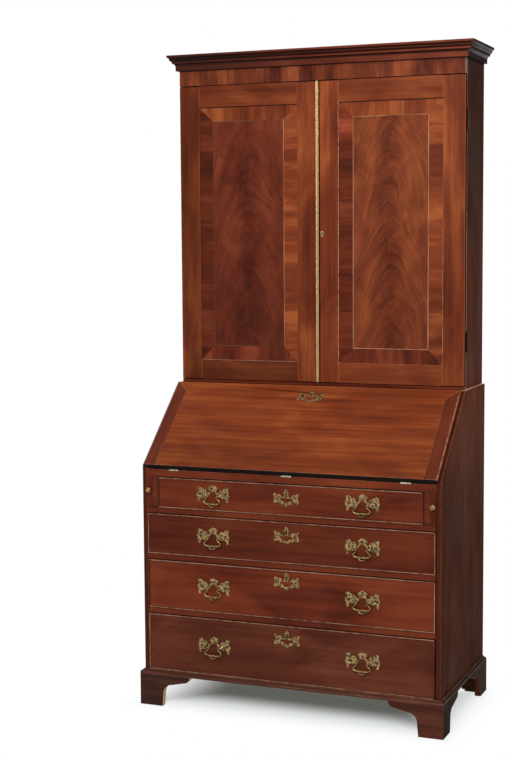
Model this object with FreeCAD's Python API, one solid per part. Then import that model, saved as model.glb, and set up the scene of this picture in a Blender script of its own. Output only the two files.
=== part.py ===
import FreeCAD
import Part
import math
import os
from FreeCAD import Placement, Rotation, Vector

# A fall-front bureau of four drawers with a two-door bookcase standing on it.
# Millimetres, +X to the viewer's right, -Y to the front, +Z up, the origin on the
# floor under the middle of the piece. While the pieces are made, Y is measured
# back from the bureau's front; save() moves them to the origin.

# Bureau carcase
BUREAU_W = 1008.0
BUREAU_D = 543.0
SIDE_T = 16.0
BOTTOM_T = 15.5
TOP_T = 18.0
BED_T = 22.5
BACK_T = 12.0
BACK_PLANKS = 4
WRITING_H = 259.5
SLOPE_DEPTH = 282.0

# Drawer openings from the top, and what parts them
TOP_DRAWER_H = 103.5
SECOND_DRAWER_H = 134.5
THIRD_DRAWER_H = 161.5
BOTTOM_DRAWER_H = 189.0
RAIL_T = 19.0
RAIL_D = 60.0
DUSTBOARD_T = 8.0
PARTITION_T = 20.0

# Bracket feet and base moulding
FOOT_H = 104.0
FOOT_T = 20.0
FOOT_TOE = 80.0
FOOT_LEAN = 4.0
FOOT_LENGTH = 178.0
FOOT_COVE_R = 30.0
FOOT_BRACKET_DROP = 30.0
FOOT_LOBE_R = 20.0
FOOT_BLOCK = 40.0
FOOT_BLOCK_LIFT = 6.0
BASE_PROUD = 12.5
BASE_H = 14.5
BASE_FLAT_H = 5.5
BASE_TOP_PROUD = 3.0

# Drawers
DRAWER_GAP = 1.6
RUN_GAP = 0.3
FRONT_T = 20.0
BEAD_W = 4.0
BEAD_PROUD = 3.0
BEAD_DEPTH = 12.0
BOX_T = 10.0
BOX_DROP = 12.0
BOX_BOTTOM_T = 7.0
BOX_BOTTOM_LIFT = 8.0
DRAWER_BACK_GAP = 25.0

# Lopers that carry the open fall
LOPER_W = 17.0
LOPER_GAP = 0.5
LOPER_BACK_GAP = 40.0
KNOB_R = 9.5
KNOB_RIM_R = 3.5
KNOB_REACH = 20.0
KNOB_FOOT_R = 6.0
KNOB_FOOT_T = 2.0
KNOB_NECK_R = 3.5
KNOB_NECK_END = 8.0
KNOB_SCREW_R = 2.5
KNOB_SCREW_L = 15.0
KNOB_RISE = 5.0

# Fall
FALL_REST = 0.3
FALL_LIP_T = 14.0
FALL_LIP_GAP = 0.3
FALL_SIDE_REVEAL = 9.5
FALL_TOP_REVEAL = 9.0
FALL_SIDE_GAP = 1.0
FALL_TOP_GAP = 1.0
FALL_FOOT_GAP = 0.5
FALL_EDGE_R = 6.0
CLEAT_W = 42.0
FALL_KEY_DROP = 39.0
FALL_LOCK_W = 62.0
FALL_LOCK_H = 40.0
FALL_LOCK_T = 9.0
FALL_LOCK_DROP = 3.0

# Hinges of the fall and the doors
HINGE_GAP = 0.5
LEAF_W = 22.0
LEAF_T = 1.6
KNUCKLE_R = 3.5
KNUCKLE_GAP = 0.6
KNUCKLE_END_GAP = 0.4
PIN_R = 1.6
PIN_PLAY = 0.05
FALL_HINGE_L = 34.0
FALL_HINGE_END = 96.0
DOOR_HINGE_L = 64.0
DOOR_HINGE_SET = 110.0

# Drawer brasses
HANDLE_SET = 253.0
PLATE_T = 1.6
POST_SET = 27.0
POST_AXIS = 11.0
POST_HEAD_R = 4.4
POST_NECK_R = 2.6
POST_COLLAR_R = 5.0
POST_COLLAR_T = 2.5
NUT_W = 12.0
NUT_T = 4.0
BAIL_R = 2.0
BAIL_PIN_R = 1.6
BAIL_PIN_PLAY = 0.05
BAIL_PIN_IN = 6.0
BAIL_PIN_OUT = 5.5
BAIL_NECK_X = 14.0
BAIL_BELLY_X = 28.5
BAIL_BELLY_DROP = 18.0
BAIL_CORNER_X = 20.0
BAIL_DROP = 28.0
BAIL_NECK_R = 3.0
BAIL_BELLY_R = 7.0
BAIL_CORNER_R = 9.0
TOP_KEY_DROP = 31.0
SECOND_KEY_DROP = 31.5
THIRD_KEY_DROP = 25.0
BOTTOM_KEY_DROP = 31.5
KEYHOLE_R = 2.6
KEYHOLE_SLOT_W = 2.8
KEYHOLE_SLOT_L = 9.0
DRAWER_LOCK_W = 60.0
DRAWER_LOCK_H = 44.0
DRAWER_LOCK_T = 10.0
LOCK_ABOVE_KEY = 18.0

# Half outlines of the pierced brasses as (x, z) from the post line and from the
# keyhole; a pair of points is an arc through the first to the second
HANDLE_PLATE_HALF = (
    (0.0, 36.0), ((5.0, 32.5), (12.0, 28.0)), ((14.0, 22.0), (11.0, 17.0)), (17.0, 8.0),
    ((20.0, 16.0), (28.0, 20.0)), (30.0, 14.0), ((33.0, 22.0), (41.0, 26.0)), (44.0, 19.0),
    ((49.0, 25.0), (56.0, 24.0)), ((55.0, 14.0), (57.0, 3.0)), ((53.0, -8.0), (50.0, -20.0)),
    ((44.0, -19.0), (40.0, -12.0)), ((35.0, -13.0), (32.0, -7.0)), ((26.0, -8.5), (20.0, -4.0)),
    (10.0, 3.0), ((7.5, 10.5), (0.0, 13.0)))
HANDLE_PLATE_HOLE = (43.0, 4.0, 4.5)
KEY_PLATE_HALF = (
    (0.0, 18.0), ((4.5, 15.0), (8.0, 9.0)), (8.0, -7.0), ((15.0, -10.0), (20.0, -5.0)),
    ((25.0, 1.5), (33.0, -1.0)), ((37.0, 1.0), (42.0, 1.5)), ((38.0, -7.0), (36.0, -16.0)),
    ((37.0, -25.0), (42.0, -32.0)), ((33.0, -32.0), (26.0, -24.0)), ((20.0, -26.0), (17.0, -32.0)),
    ((9.0, -34.0), (0.0, -40.0)))
KEY_PLATE_HOLE = (17.0, -17.0, 5.0)

# Bookcase carcase, set in from the bureau's sides and behind its sloping front
BOOK_SIDE_SET = 9.0
BOOK_FRONT_SET = 20.0
BOOK_SIDE_T = 18.0
BOOK_BOTTOM_T = 20.0
BOOK_TOP_T = 18.0
BOOK_STRIP_H = 10.0
FRIEZE_H = 52.0
SHELF_T = 16.0
SHELF_SET = 10.0
SHELVES = 3
CORNICE_H = 51.0
CORNICE_PROUD = 33.0
CORNICE_RECESS = 10.0
CORNICE_BED_PROUD = 10.0
CORNICE_BED_H = 14.0
CORNICE_COVE_PROUD = 18.0
CORNICE_COVE_H = 10.0
CORNICE_STEP_PROUD = 19.5
CORNICE_STEP_H = 6.0
CORNICE_CAP_H = 7.0

# Doors
DOOR_OPEN_H = 990.0
DOOR_T = 20.0
DOOR_GAP = 1.2
STILE_W = 72.0
MEET_STILE_W = 66.0
TOP_RAIL_H = 71.0
LOW_RAIL_H = 67.0
PANEL_T = 10.0
PANEL_SET = 4.0
PANEL_LAP = 8.0
ASTRAGAL_W = 11.0
ASTRAGAL_PROUD = 5.0
DOOR_LOCK_W = 42.0
DOOR_LOCK_H = 75.0
DOOR_LOCK_T = 12.0
DOOR_KEY_SET = 9.0
DOOR_KEY_LINER_R = 4.2

# Fitted interior behind the fall
CASE_FRONT_SET = 18.0
CASE_GAP = 1.0
CASE_BACK_GAP = 6.0
CASE_BOARD_T = 6.0
CASE_SIDE_T = 8.0
SMALL_DRAWER_H = 52.0
SMALL_DRAWER_ROWS = 2
CENTRE_W = 200.0
PIGEONHOLES = 4
SMALL_GAP = 0.5
SMALL_FRONT_T = 14.0
SMALL_BOX_T = 6.0
SMALL_BOX_DROP = 6.0
SMALL_BACK_GAP = 6.0
SMALL_KNOB_R = 7.0
SMALL_KNOB_RIM_R = 2.5
SMALL_KNOB_REACH = 13.0
SMALL_KNOB_NECK_R = 3.0
SMALL_KNOB_NECK_END = 4.0
SMALL_KNOB_FOOT_R = 4.5
SMALL_KNOB_FOOT_T = 1.5

# Places worked out from the sizes above
DRAWER_HEIGHTS = (TOP_DRAWER_H, SECOND_DRAWER_H, THIRD_DRAWER_H, BOTTOM_DRAWER_H)
KEY_DROPS = (TOP_KEY_DROP, SECOND_KEY_DROP, THIRD_KEY_DROP, BOTTOM_KEY_DROP)
HALF_W = BUREAU_W / 2
INNER_X = HALF_W - SIDE_T
BACK_Y = BUREAU_D - BACK_T
FLOOR_Z = FOOT_H + BOTTOM_T


def drawer_spans():
    """The lowest and highest Z of each drawer opening, from the top drawer down."""
    spans = []
    z = FLOOR_Z
    for height in reversed(DRAWER_HEIGHTS):
        spans.insert(0, (z, z + height))
        z += height + RAIL_T
    return spans


DRAWER_Z = drawer_spans()
BED_Z = DRAWER_Z[0][1]
BED_TOP = BED_Z + BED_T
BUREAU_TOP = BED_TOP + WRITING_H
LOPER_SPACE = LOPER_W + 2 * LOPER_GAP
PARTITION_X = INNER_X - LOPER_SPACE - PARTITION_T

# The fall turns about its hinge line; s runs up the slope and n out of it
PIVOT_Z = BED_TOP + HINGE_GAP / 2
FALL_T = BED_T - FALL_REST
FALL_IN_N = HINGE_GAP / 2
FALL_OUT_N = FALL_IN_N + FALL_T
FALL_LIP_N = FALL_OUT_N - FALL_LIP_T
SEAT_N = FALL_LIP_N - FALL_LIP_GAP
SLOPE_RISE = BUREAU_TOP - PIVOT_Z
SLOPE_REACH = math.hypot(SLOPE_DEPTH, SLOPE_RISE)
SLOPE = math.atan2(SLOPE_RISE, SLOPE_DEPTH) - math.asin(SEAT_N / SLOPE_REACH)
SLOPE_FOOT_Z = PIVOT_Z + SEAT_N / math.cos(SLOPE)
FALL_TOP_S = math.sqrt(SLOPE_REACH ** 2 - SEAT_N ** 2) - FALL_TOP_REVEAL
FALL_INNER_S = ((SLOPE_RISE - TOP_T - FALL_LIP_N * math.cos(SLOPE)) / math.sin(SLOPE)
                - FALL_TOP_GAP)
FALL_HALF = HALF_W - FALL_SIDE_REVEAL
FALL_KEY_S = FALL_TOP_S - FALL_KEY_DROP
FALL_HINGE_X = INNER_X - FALL_HINGE_END
FALL_HINGES = (-FALL_HINGE_X, 0.0, FALL_HINGE_X)

# Bookcase and doors
BOOK_HALF = HALF_W - BOOK_SIDE_SET
DOOR_SET = SLOPE_DEPTH + BOOK_FRONT_SET
BOOK_INNER = BOOK_HALF - BOOK_SIDE_T
DOOR_BACK = DOOR_SET + DOOR_T
CASE_FRONT = DOOR_BACK + HINGE_GAP
DOOR_Z = BUREAU_TOP + BOOK_STRIP_H
DOOR_TOP = DOOR_Z + DOOR_OPEN_H
FRIEZE_TOP = DOOR_TOP + FRIEZE_H
TOTAL_H = FRIEZE_TOP + CORNICE_H
BOOK_TOP = TOTAL_H - CORNICE_RECESS
MEET_X = ASTRAGAL_W / 2
DOOR_AXIS_X = BOOK_HALF + KNUCKLE_R + HINGE_GAP
DOOR_AXIS_Y = DOOR_BACK + HINGE_GAP / 2
DOOR_KEY_X = MEET_X + DOOR_GAP / 2 + DOOR_KEY_SET
DOOR_KEY_Z = (DOOR_Z + DOOR_TOP) / 2
DOOR_HINGES = (DOOR_Z + DOOR_HINGE_SET, DOOR_TOP - DOOR_HINGE_SET - DOOR_HINGE_L)

# Fitted interior
CASE_HALF = INNER_X - CASE_GAP
CASE_SET = SLOPE_DEPTH + CASE_FRONT_SET
CASE_TOP = BUREAU_TOP - TOP_T
CASE_BACK = BACK_Y - CASE_BACK_GAP
SMALL_X = (CENTRE_W / 2 + CASE_SIDE_T, CASE_HALF - CASE_SIDE_T)
ROW_STEP = SMALL_DRAWER_H + CASE_BOARD_T
HOLES_Z = BED_TOP + CASE_BOARD_T + SMALL_DRAWER_ROWS * ROW_STEP
HOLES_TOP = CASE_TOP - CASE_SIDE_T

FRONT_REACH = max(KNOB_REACH, BASE_PROUD, POST_AXIS + POST_HEAD_R)
Y_SHIFT = (FRONT_REACH - BUREAU_D) / 2

X_AXIS = Vector(1, 0, 0)
Y_AXIS = Vector(0, 1, 0)
Z_AXIS = Vector(0, 0, 1)
ORIGIN = Vector(0, 0, 0)


# Shape helpers
def box(x0, x1, y0, y1, z0, z1):
    """A box between two corners."""
    return Part.makeBox(x1 - x0, y1 - y0, z1 - z0, Vector(x0, y0, z0))


def rod(radius, start, axis, length):
    """A round bar from start along an axis."""
    return Part.makeCylinder(radius, length, start, axis)


def mirror_x(shape):
    """The shape's twin on the other side of the middle plane."""
    return shape.mirror(ORIGIN, X_AXIS)


def face_of(plane, outline):
    """A face from points on a plane; a pair of points is an arc to the second."""
    edges = []
    here = plane(*outline[0])
    for step in outline[1:] + outline[:1]:
        if isinstance(step[0], tuple):
            through, end = (plane(*point) for point in step)
            edges.append(Part.Arc(here, through, end).toShape())
        else:
            end = plane(*step)
            edges.append(Part.LineSegment(here, end).toShape())
        here = end
    return Part.Face(Part.Wire(edges))


def prism_x(outline, x0, x1):
    """A (y, z) outline run along X."""
    return face_of(lambda y, z: Vector(x0, y, z), outline).extrude(X_AXIS * (x1 - x0))


def prism_y(outline, y0, y1):
    """An (x, z) outline run along Y."""
    return face_of(lambda x, z: Vector(x, y0, z), outline).extrude(Y_AXIS * (y1 - y0))


def prism_z(outline, z0, z1):
    """An (x, y) outline run along Z."""
    return face_of(lambda x, y: Vector(x, y, z0), outline).extrude(Z_AXIS * (z1 - z0))


def turned(outline):
    """An (r, y) outline turned round the Y axis."""
    return face_of(lambda r, y: Vector(r, y, 0), outline).revolve(ORIGIN, Y_AXIS, 360)


def moved(shape, x, y, z):
    """A copy of the shape, moved."""
    return shape.translated(Vector(x, y, z))


def symmetric_plate(half, hole, thickness):
    """A thin pierced plate standing in the XZ plane, its face towards -Y."""
    plate = prism_y(half, -thickness, 0)
    x, z, radius = hole
    plate = plate.cut(rod(radius, Vector(x, -thickness, z), Y_AXIS, thickness))
    return plate.fuse(mirror_x(plate)).removeSplitter()


def keyhole(y0, y1):
    """A keyhole at the origin, from y0 to y1: a round eye over a slot."""
    eye = rod(KEYHOLE_R, Vector(0, y0, 0), Y_AXIS, y1 - y0)
    half_slot = KEYHOLE_SLOT_W / 2
    return eye.fuse(box(-half_slot, half_slot, y0, y1, -KEYHOLE_SLOT_L, 0))


def planks(half_width, y0, y1, z0, z1):
    """Upright back planks, edge to edge."""
    step = 2 * half_width / BACK_PLANKS
    return [box(i * step - half_width, (i + 1) * step - half_width, y0, y1, z0, z1)
            for i in range(BACK_PLANKS)]


def planted_moulding(outline, proud, half, front, back):
    """A moulding planted round the front and both sides, mitred at the corners.

    The outline is (d, z), where d is measured out from the carcase.
    """
    far = half + proud
    z0 = outline[0][1]
    z1 = outline[-1][1]
    run = face_of(lambda d, z: Vector(-far, front - d, z), outline).extrude(X_AXIS * 2 * far)
    plan = prism_z(((-far, front - proud), (far, front - proud), (half, front), (-half, front)), z0, z1)
    side_run = face_of(lambda d, z: Vector(half + d, front - proud, z), outline)
    side_run = side_run.extrude(Y_AXIS * (back - front + proud))
    side_plan = prism_z(((half, front), (far, front - proud), (far, back), (half, back)), z0, z1)
    side = side_run.common(side_plan)
    return [run.common(plan), side, mirror_x(side)]


# Hinges: made along +X from the origin, with the leaf towards +Y
def hinge_leaf(length, moving):
    """One leaf with its knuckles; the moving leaf has the middle knuckle."""
    third = length / 3
    spans = ((third, 2 * third),) if moving else ((0.0, third), (2 * third, length))
    z0 = HINGE_GAP / 2 if moving else -HINGE_GAP / 2 - LEAF_T
    leaf = box(0, length, KNUCKLE_R + KNUCKLE_GAP, LEAF_W, z0, z0 + LEAF_T)
    for start, end in spans:
        a = start + (KNUCKLE_END_GAP / 2 if start > 0 else 0)
        b = end - (KNUCKLE_END_GAP / 2 if end < length else 0)
        barrel = rod(KNUCKLE_R, Vector(a, 0, 0), X_AXIS, b - a)
        leaf = leaf.fuse([barrel, box(a, b, 0, KNUCKLE_R + KNUCKLE_GAP, z0, z0 + LEAF_T)])
    bore = PIN_R + (PIN_PLAY if moving else 0)
    return leaf.cut(rod(bore, ORIGIN, X_AXIS, length)).removeSplitter()


def leaf_mortise(length, moving):
    """The wood that a leaf is let into."""
    z0 = HINGE_GAP / 2 if moving else -HINGE_GAP / 2 - LEAF_T
    return box(0, length, 0, LEAF_W, z0, z0 + LEAF_T)


def hinge_pin(length):
    """The pin through all the knuckles."""
    return rod(PIN_R, ORIGIN, X_AXIS, length)


def knuckle_notch(length):
    """The hollow that clears the knuckles of a hinge at a corner."""
    radius = KNUCKLE_R + KNUCKLE_GAP
    return rod(radius, Vector(-KNUCKLE_GAP, 0, 0), X_AXIS, length + 2 * KNUCKLE_GAP)


def at_door_hinge(shape, z):
    """Stands a hinge piece upright on the right door's hinge line."""
    upright = Rotation(Z_AXIS, X_AXIS * -1, Y_AXIS * -1, "XYZ")
    stood = shape.copy()
    stood.Placement = Placement(Vector(DOOR_AXIS_X, DOOR_AXIS_Y, z), upright)
    return stood


def at_bed_hinge(shape, x):
    """Lays a hinge piece on the writing bed's front edge, its middle at x."""
    return moved(shape, x - FALL_HINGE_L / 2, 0, PIVOT_Z)


def on_slope(shape):
    """Turns a piece made in (x, s, n) onto the slope."""
    leaned = shape.copy()
    turn = Rotation(X_AXIS, math.degrees(SLOPE))
    leaned.Placement = Placement(Vector(0, 0, PIVOT_Z), turn).multiply(leaned.Placement)
    return leaned


# Bureau carcase
def bureau_side():
    """The right side with its sloping front edge."""
    outline = ((0, FOOT_H), (BUREAU_D, FOOT_H), (BUREAU_D, BUREAU_TOP),
               (SLOPE_DEPTH, BUREAU_TOP), (0, SLOPE_FOOT_Z))
    return prism_x(outline, INNER_X, HALF_W)


def bureau_top():
    """The top board, its front edge cut to the slope."""
    under = BUREAU_TOP - TOP_T
    set_back = SLOPE_DEPTH - TOP_T / math.tan(SLOPE)
    outline = ((set_back, under), (BACK_Y, under), (BACK_Y, BUREAU_TOP), (SLOPE_DEPTH, BUREAU_TOP))
    return prism_x(outline, -INNER_X, INNER_X)


def writing_bed():
    """The fixed writing surface, let out for the fall's hinges."""
    bed = box(-INNER_X, INNER_X, 0, BACK_Y, BED_Z, BED_TOP)
    for x in FALL_HINGES:
        bed = bed.cut(at_bed_hinge(knuckle_notch(FALL_HINGE_L), x))
        bed = bed.cut(at_bed_hinge(leaf_mortise(FALL_HINGE_L, False), x))
    return bed


def drawer_divisions():
    """Front rails, dustboards behind them, and the lopers' partitions."""
    boards = []
    for low, _ in DRAWER_Z[:-1]:
        boards.append(box(-INNER_X, INNER_X, 0, RAIL_D, low - RAIL_T, low))
        boards.append(box(-INNER_X, INNER_X, RAIL_D, BACK_Y, low - DUSTBOARD_T, low))
    partition = box(PARTITION_X, PARTITION_X + PARTITION_T, 0, BACK_Y, *DRAWER_Z[0])
    return boards + [partition, mirror_x(partition)]


def base_moulding():
    """The moulding round the carcase's foot, with a hollow upper edge."""
    top = FOOT_H + BASE_H
    flat = FOOT_H + BASE_FLAT_H
    sink = (BASE_PROUD - BASE_TOP_PROUD) / 2
    middle = (BASE_PROUD - sink, (flat + top) / 2)
    bow = sink / 3
    outline = ((0, FOOT_H), (BASE_PROUD, FOOT_H), (BASE_PROUD, flat),
               ((BASE_PROUD - bow, flat + (top - flat) / 3), middle),
               ((BASE_TOP_PROUD + bow, top - (top - flat) / 4), (BASE_TOP_PROUD, top)), (0, top))
    return planted_moulding(outline, BASE_PROUD, HALF_W, 0, BUREAU_D)


def bracket():
    """One bracket of a foot: along +X from its mitred corner, its face towards -Y."""
    heel = FOOT_TOE + FOOT_LEAN
    low = FOOT_H - FOOT_BRACKET_DROP - FOOT_COVE_R
    cove = FOOT_COVE_R * (1 - math.sqrt(0.5))
    lobe = FOOT_LOBE_R * math.sqrt(0.5)
    end = FOOT_LENGTH - FOOT_LOBE_R
    outline = ((0, 0), (FOOT_TOE, 0), (heel, low),
               ((heel + cove, low + FOOT_COVE_R - cove), (heel + FOOT_COVE_R, low + FOOT_COVE_R)),
               (end, FOOT_H - FOOT_LOBE_R),
               ((end + lobe, FOOT_H - lobe), (FOOT_LENGTH, FOOT_H)), (0, FOOT_H))
    plan = prism_z(((0, 0), (FOOT_LENGTH, 0), (FOOT_LENGTH, FOOT_T), (FOOT_T, FOOT_T)), 0, FOOT_H)
    return prism_y(outline, 0, FOOT_T).common(plan)


def front_left_foot():
    """Two mitred brackets and the glue block behind them."""
    face = bracket()
    end = FOOT_T + FOOT_BLOCK
    block = box(FOOT_T, end, FOOT_T, end, FOOT_BLOCK_LIFT, FOOT_H)
    corner = Vector(-HALF_W - BASE_PROUD, -BASE_PROUD, 0)
    pieces = [face, face.mirror(ORIGIN, Vector(1, -1, 0)), block]
    return [piece.translated(corner) for piece in pieces]


def feet():
    """The front pair and the rear pair of feet."""
    left = front_left_foot()
    middle = Vector(0, (BUREAU_D - BASE_PROUD) / 2, 0)
    rear = [piece.mirror(middle, Y_AXIS) for piece in left]
    return left + [mirror_x(p) for p in left], rear + [mirror_x(p) for p in rear]


# Fall, made in (x, s, n) and then turned onto the slope
def fall_hinge_cut(shape, cutter):
    """Cuts the same hollow for each of the fall's hinges."""
    for x in FALL_HINGES:
        shape = shape.cut(moved(cutter, x - FALL_HINGE_L / 2, 0, 0))
    return shape


def fall_key(shape):
    """Turns a piece made round the keyhole in XZ into the fall's face, key upwards."""
    laid = shape.copy()
    laid.rotate(ORIGIN, X_AXIS, -90)
    return moved(laid, 0, FALL_KEY_S, FALL_OUT_N)


def fall_lock_case():
    """The lock let into the fall's inner face under its top edge."""
    top = FALL_INNER_S - FALL_LOCK_DROP
    half = FALL_LOCK_W / 2
    return box(-half, half, top - FALL_LOCK_H, top, FALL_IN_N, FALL_IN_N + FALL_LOCK_T)


def fall_blank():
    """The whole fall: a lipped board with a rounded rim, let out for lock and hinges."""
    lip = box(-FALL_HALF, FALL_HALF, FALL_FOOT_GAP, FALL_TOP_S, FALL_LIP_N, FALL_OUT_N)
    rim = [edge for edge in lip.Edges
           if edge.CenterOfMass.z > FALL_OUT_N - FALL_EDGE_R / 2
           and edge.CenterOfMass.y > FALL_FOOT_GAP + FALL_EDGE_R]
    lip = lip.makeFillet(FALL_EDGE_R, rim)
    inner = INNER_X - FALL_SIDE_GAP
    blank = lip.fuse(box(-inner, inner, FALL_FOOT_GAP, FALL_INNER_S, FALL_IN_N, FALL_LIP_N))
    blank = fall_hinge_cut(blank.removeSplitter(), knuckle_notch(FALL_HINGE_L))
    blank = fall_hinge_cut(blank, leaf_mortise(FALL_HINGE_L, True))
    return blank.cut(fall_lock_case()).cut(fall_key(keyhole(0, FALL_T)))


def fall():
    """The main board and the two end cleats, mitred at the top corners."""
    blank = fall_blank()
    inner = FALL_HALF - CLEAT_W
    plan = ((inner, 0), (FALL_HALF, 0), (FALL_HALF, FALL_TOP_S), (inner, FALL_TOP_S - CLEAT_W))
    cleat = blank.common(prism_z(plan, 0, FALL_OUT_N))
    cleats = [cleat, mirror_x(cleat)]
    return [on_slope(blank.cut(cleats))], [on_slope(piece) for piece in cleats]


def key_plate():
    """A pierced key plate round a keyhole."""
    return symmetric_plate(KEY_PLATE_HALF, KEY_PLATE_HOLE, PLATE_T).cut(keyhole(-PLATE_T, 0))


def fall_lock():
    """The lock case and the key plate on the outer face."""
    return [on_slope(fall_lock_case()), on_slope(fall_key(key_plate()))]


def fall_hinge_leaves():
    """The leaves that turn with the fall."""
    leaf = hinge_leaf(FALL_HINGE_L, True)
    return [on_slope(moved(leaf, x - FALL_HINGE_L / 2, 0, 0)) for x in FALL_HINGES]


# Lopers
def loper_span():
    """The lowest and highest Z of a loper in its slot."""
    low, high = DRAWER_Z[0]
    return low + RUN_GAP, high - RUN_GAP


def loper_knob_place():
    """The middle of the right loper's front, where its knob is screwed in."""
    low, high = loper_span()
    return Vector(INNER_X - LOPER_SPACE / 2, 0, (low + high) / 2 + KNOB_RISE)


def loper():
    """The right loper, bored for its knob."""
    inner = INNER_X - LOPER_SPACE + LOPER_GAP
    arm = box(inner, inner + LOPER_W, 0, BACK_Y - LOPER_BACK_GAP, *loper_span())
    return arm.cut(rod(KNOB_SCREW_R, loper_knob_place(), Y_AXIS, KNOB_SCREW_L))


def knob(radius, rim_r, reach, neck_r, neck_end, foot_r, foot_t):
    """A turned knob standing out towards -Y, with a rounded rim and a domed face."""
    rim_x = radius - rim_r
    dome_y = neck_end + 2 * rim_r
    dome_h = reach - dome_y
    dome_r = (rim_x ** 2 + dome_h ** 2) / (2 * dome_h)
    lean = math.acos((dome_r - dome_h) / dome_r) / 2
    crown = (dome_r * math.sin(lean), dome_r * (1 - math.cos(lean)) - reach)
    outline = ((0, 0), (foot_r, 0), (foot_r, -foot_t), (neck_r, -foot_t), (neck_r, -neck_end),
               (rim_x, -neck_end), ((radius, -neck_end - rim_r), (rim_x, -dome_y)), (crown, (0, -reach)))
    return turned(outline)


def loper_knob():
    """The right loper's brass knob and its screw."""
    place = loper_knob_place()
    head = knob(KNOB_R, KNOB_RIM_R, KNOB_REACH, KNOB_NECK_R, KNOB_NECK_END, KNOB_FOOT_R, KNOB_FOOT_T)
    return head.translated(place).fuse(rod(KNOB_SCREW_R, place, Y_AXIS, KNOB_SCREW_L))


# Drawers
def drawer_half(index):
    """Half the width of a drawer's front."""
    return (PARTITION_X if index == 0 else INNER_X) - DRAWER_GAP


def drawer_span(index):
    """The lowest and highest Z of a drawer's front; the top one clears the open fall's key plate."""
    low, high = DRAWER_Z[index]
    clearance = DRAWER_GAP + (PLATE_T if index == 0 else 0)
    return low + RUN_GAP, high - clearance


def handle_places(index):
    """The middles of a drawer's two handles, on the post line."""
    low, high = drawer_span(index)
    return [Vector(side * HANDLE_SET, 0, (low + high) / 2) for side in (-1, 1)]


def key_place(index):
    """A drawer's keyhole."""
    return Vector(0, 0, drawer_span(index)[1] - KEY_DROPS[index])


def cock_beads(half, low, high):
    """Rounded beads let in round the edges of a drawer's front."""
    round_y = BEAD_W / 2 - BEAD_PROUD
    nose = ((0, BEAD_DEPTH), (0, round_y), ((BEAD_W / 2, -BEAD_PROUD), (BEAD_W, round_y)),
            (BEAD_W, BEAD_DEPTH))
    inner = half - BEAD_W
    upright = moved(prism_z(nose, low, high), inner, 0, 0)
    flat = face_of(lambda w, y: Vector(-inner, y, w), nose).extrude(X_AXIS * 2 * inner)
    return [upright, mirror_x(upright), moved(flat, 0, 0, low), moved(flat, 0, 0, high - BEAD_W)]


def drawer_front(index):
    """The front board, let in for its beads and bored for its brasses."""
    half = drawer_half(index)
    low, high = drawer_span(index)
    board = box(BEAD_W - half, half - BEAD_W, 0, FRONT_T, low + BEAD_W, high - BEAD_W)
    board = board.fuse(box(-half, half, BEAD_DEPTH, FRONT_T, low, high)).removeSplitter()
    for handle in handle_places(index):
        for side in (-POST_SET, POST_SET):
            board = board.cut(rod(POST_NECK_R, handle + X_AXIS * side, Y_AXIS, FRONT_T))
    board = board.cut(keyhole(0, FRONT_T).translated(key_place(index)))
    return [board] + cock_beads(half, low, high)


def drawer_box(half, low, high, front_t, back, wall, bottom_lift):
    """Two sides, a back and a bottom behind a drawer's front."""
    side = box(half - wall, half, front_t, back, low, high)
    inner = half - wall
    rear = box(-inner, inner, back - wall, back, low, high)
    floor = box(-inner, inner, front_t, back - wall, low + bottom_lift, low + bottom_lift + BOX_BOTTOM_T)
    return [side, mirror_x(side), rear, floor]


def bureau_drawer_box(index):
    """The box of one of the four long drawers."""
    low, high = drawer_span(index)
    return drawer_box(drawer_half(index), low, high - BOX_DROP, FRONT_T, BACK_Y - DRAWER_BACK_GAP,
                      BOX_T, BOX_BOTTOM_LIFT)


def handle_post():
    """A handle's post with its bored head, standing towards -Y, and its bolt."""
    head = Part.makeSphere(POST_HEAD_R, Vector(0, -POST_AXIS, 0))
    stem = rod(POST_NECK_R, Vector(0, -POST_AXIS, 0), Y_AXIS, POST_AXIS + FRONT_T + NUT_T)
    collar = rod(POST_COLLAR_R, Vector(0, -PLATE_T - POST_COLLAR_T, 0), Y_AXIS, POST_COLLAR_T)
    eye = rod(BAIL_PIN_R + BAIL_PIN_PLAY, Vector(-POST_COLLAR_R, -POST_AXIS, 0), X_AXIS, 2 * POST_COLLAR_R)
    return head.fuse([stem, collar]).removeSplitter().cut(eye)


def handle_nut():
    """The square nut on a post's bolt, inside the drawer."""
    half = NUT_W / 2
    nut = box(-half, half, FRONT_T, FRONT_T + NUT_T, -half, half)
    return nut.cut(rod(POST_NECK_R, Vector(0, FRONT_T, 0), Y_AXIS, NUT_T))


def handle_plate():
    """The pierced plate behind a bail, bored for the two posts."""
    plate = symmetric_plate(HANDLE_PLATE_HALF, HANDLE_PLATE_HOLE, PLATE_T)
    for x in (-POST_SET, POST_SET):
        plate = plate.cut(rod(POST_NECK_R, Vector(x, -PLATE_T, 0), Y_AXIS, PLATE_T))
    return plate


def drawer_brasses(index):
    """Two handle plates with posts and nuts, the key plate and the lock."""
    pieces = []
    for handle in handle_places(index):
        pieces.append(handle_plate().translated(handle))
        for side in (-POST_SET, POST_SET):
            pieces.append(handle_post().translated(handle + X_AXIS * side))
            pieces.append(handle_nut().translated(handle + X_AXIS * side))
    key = key_place(index)
    half = DRAWER_LOCK_W / 2
    top = key.z + LOCK_ABOVE_KEY
    pieces.append(key_plate().translated(key))
    pieces.append(box(-half, half, FRONT_T, FRONT_T + DRAWER_LOCK_T, top - DRAWER_LOCK_H, top))
    return pieces


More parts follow.
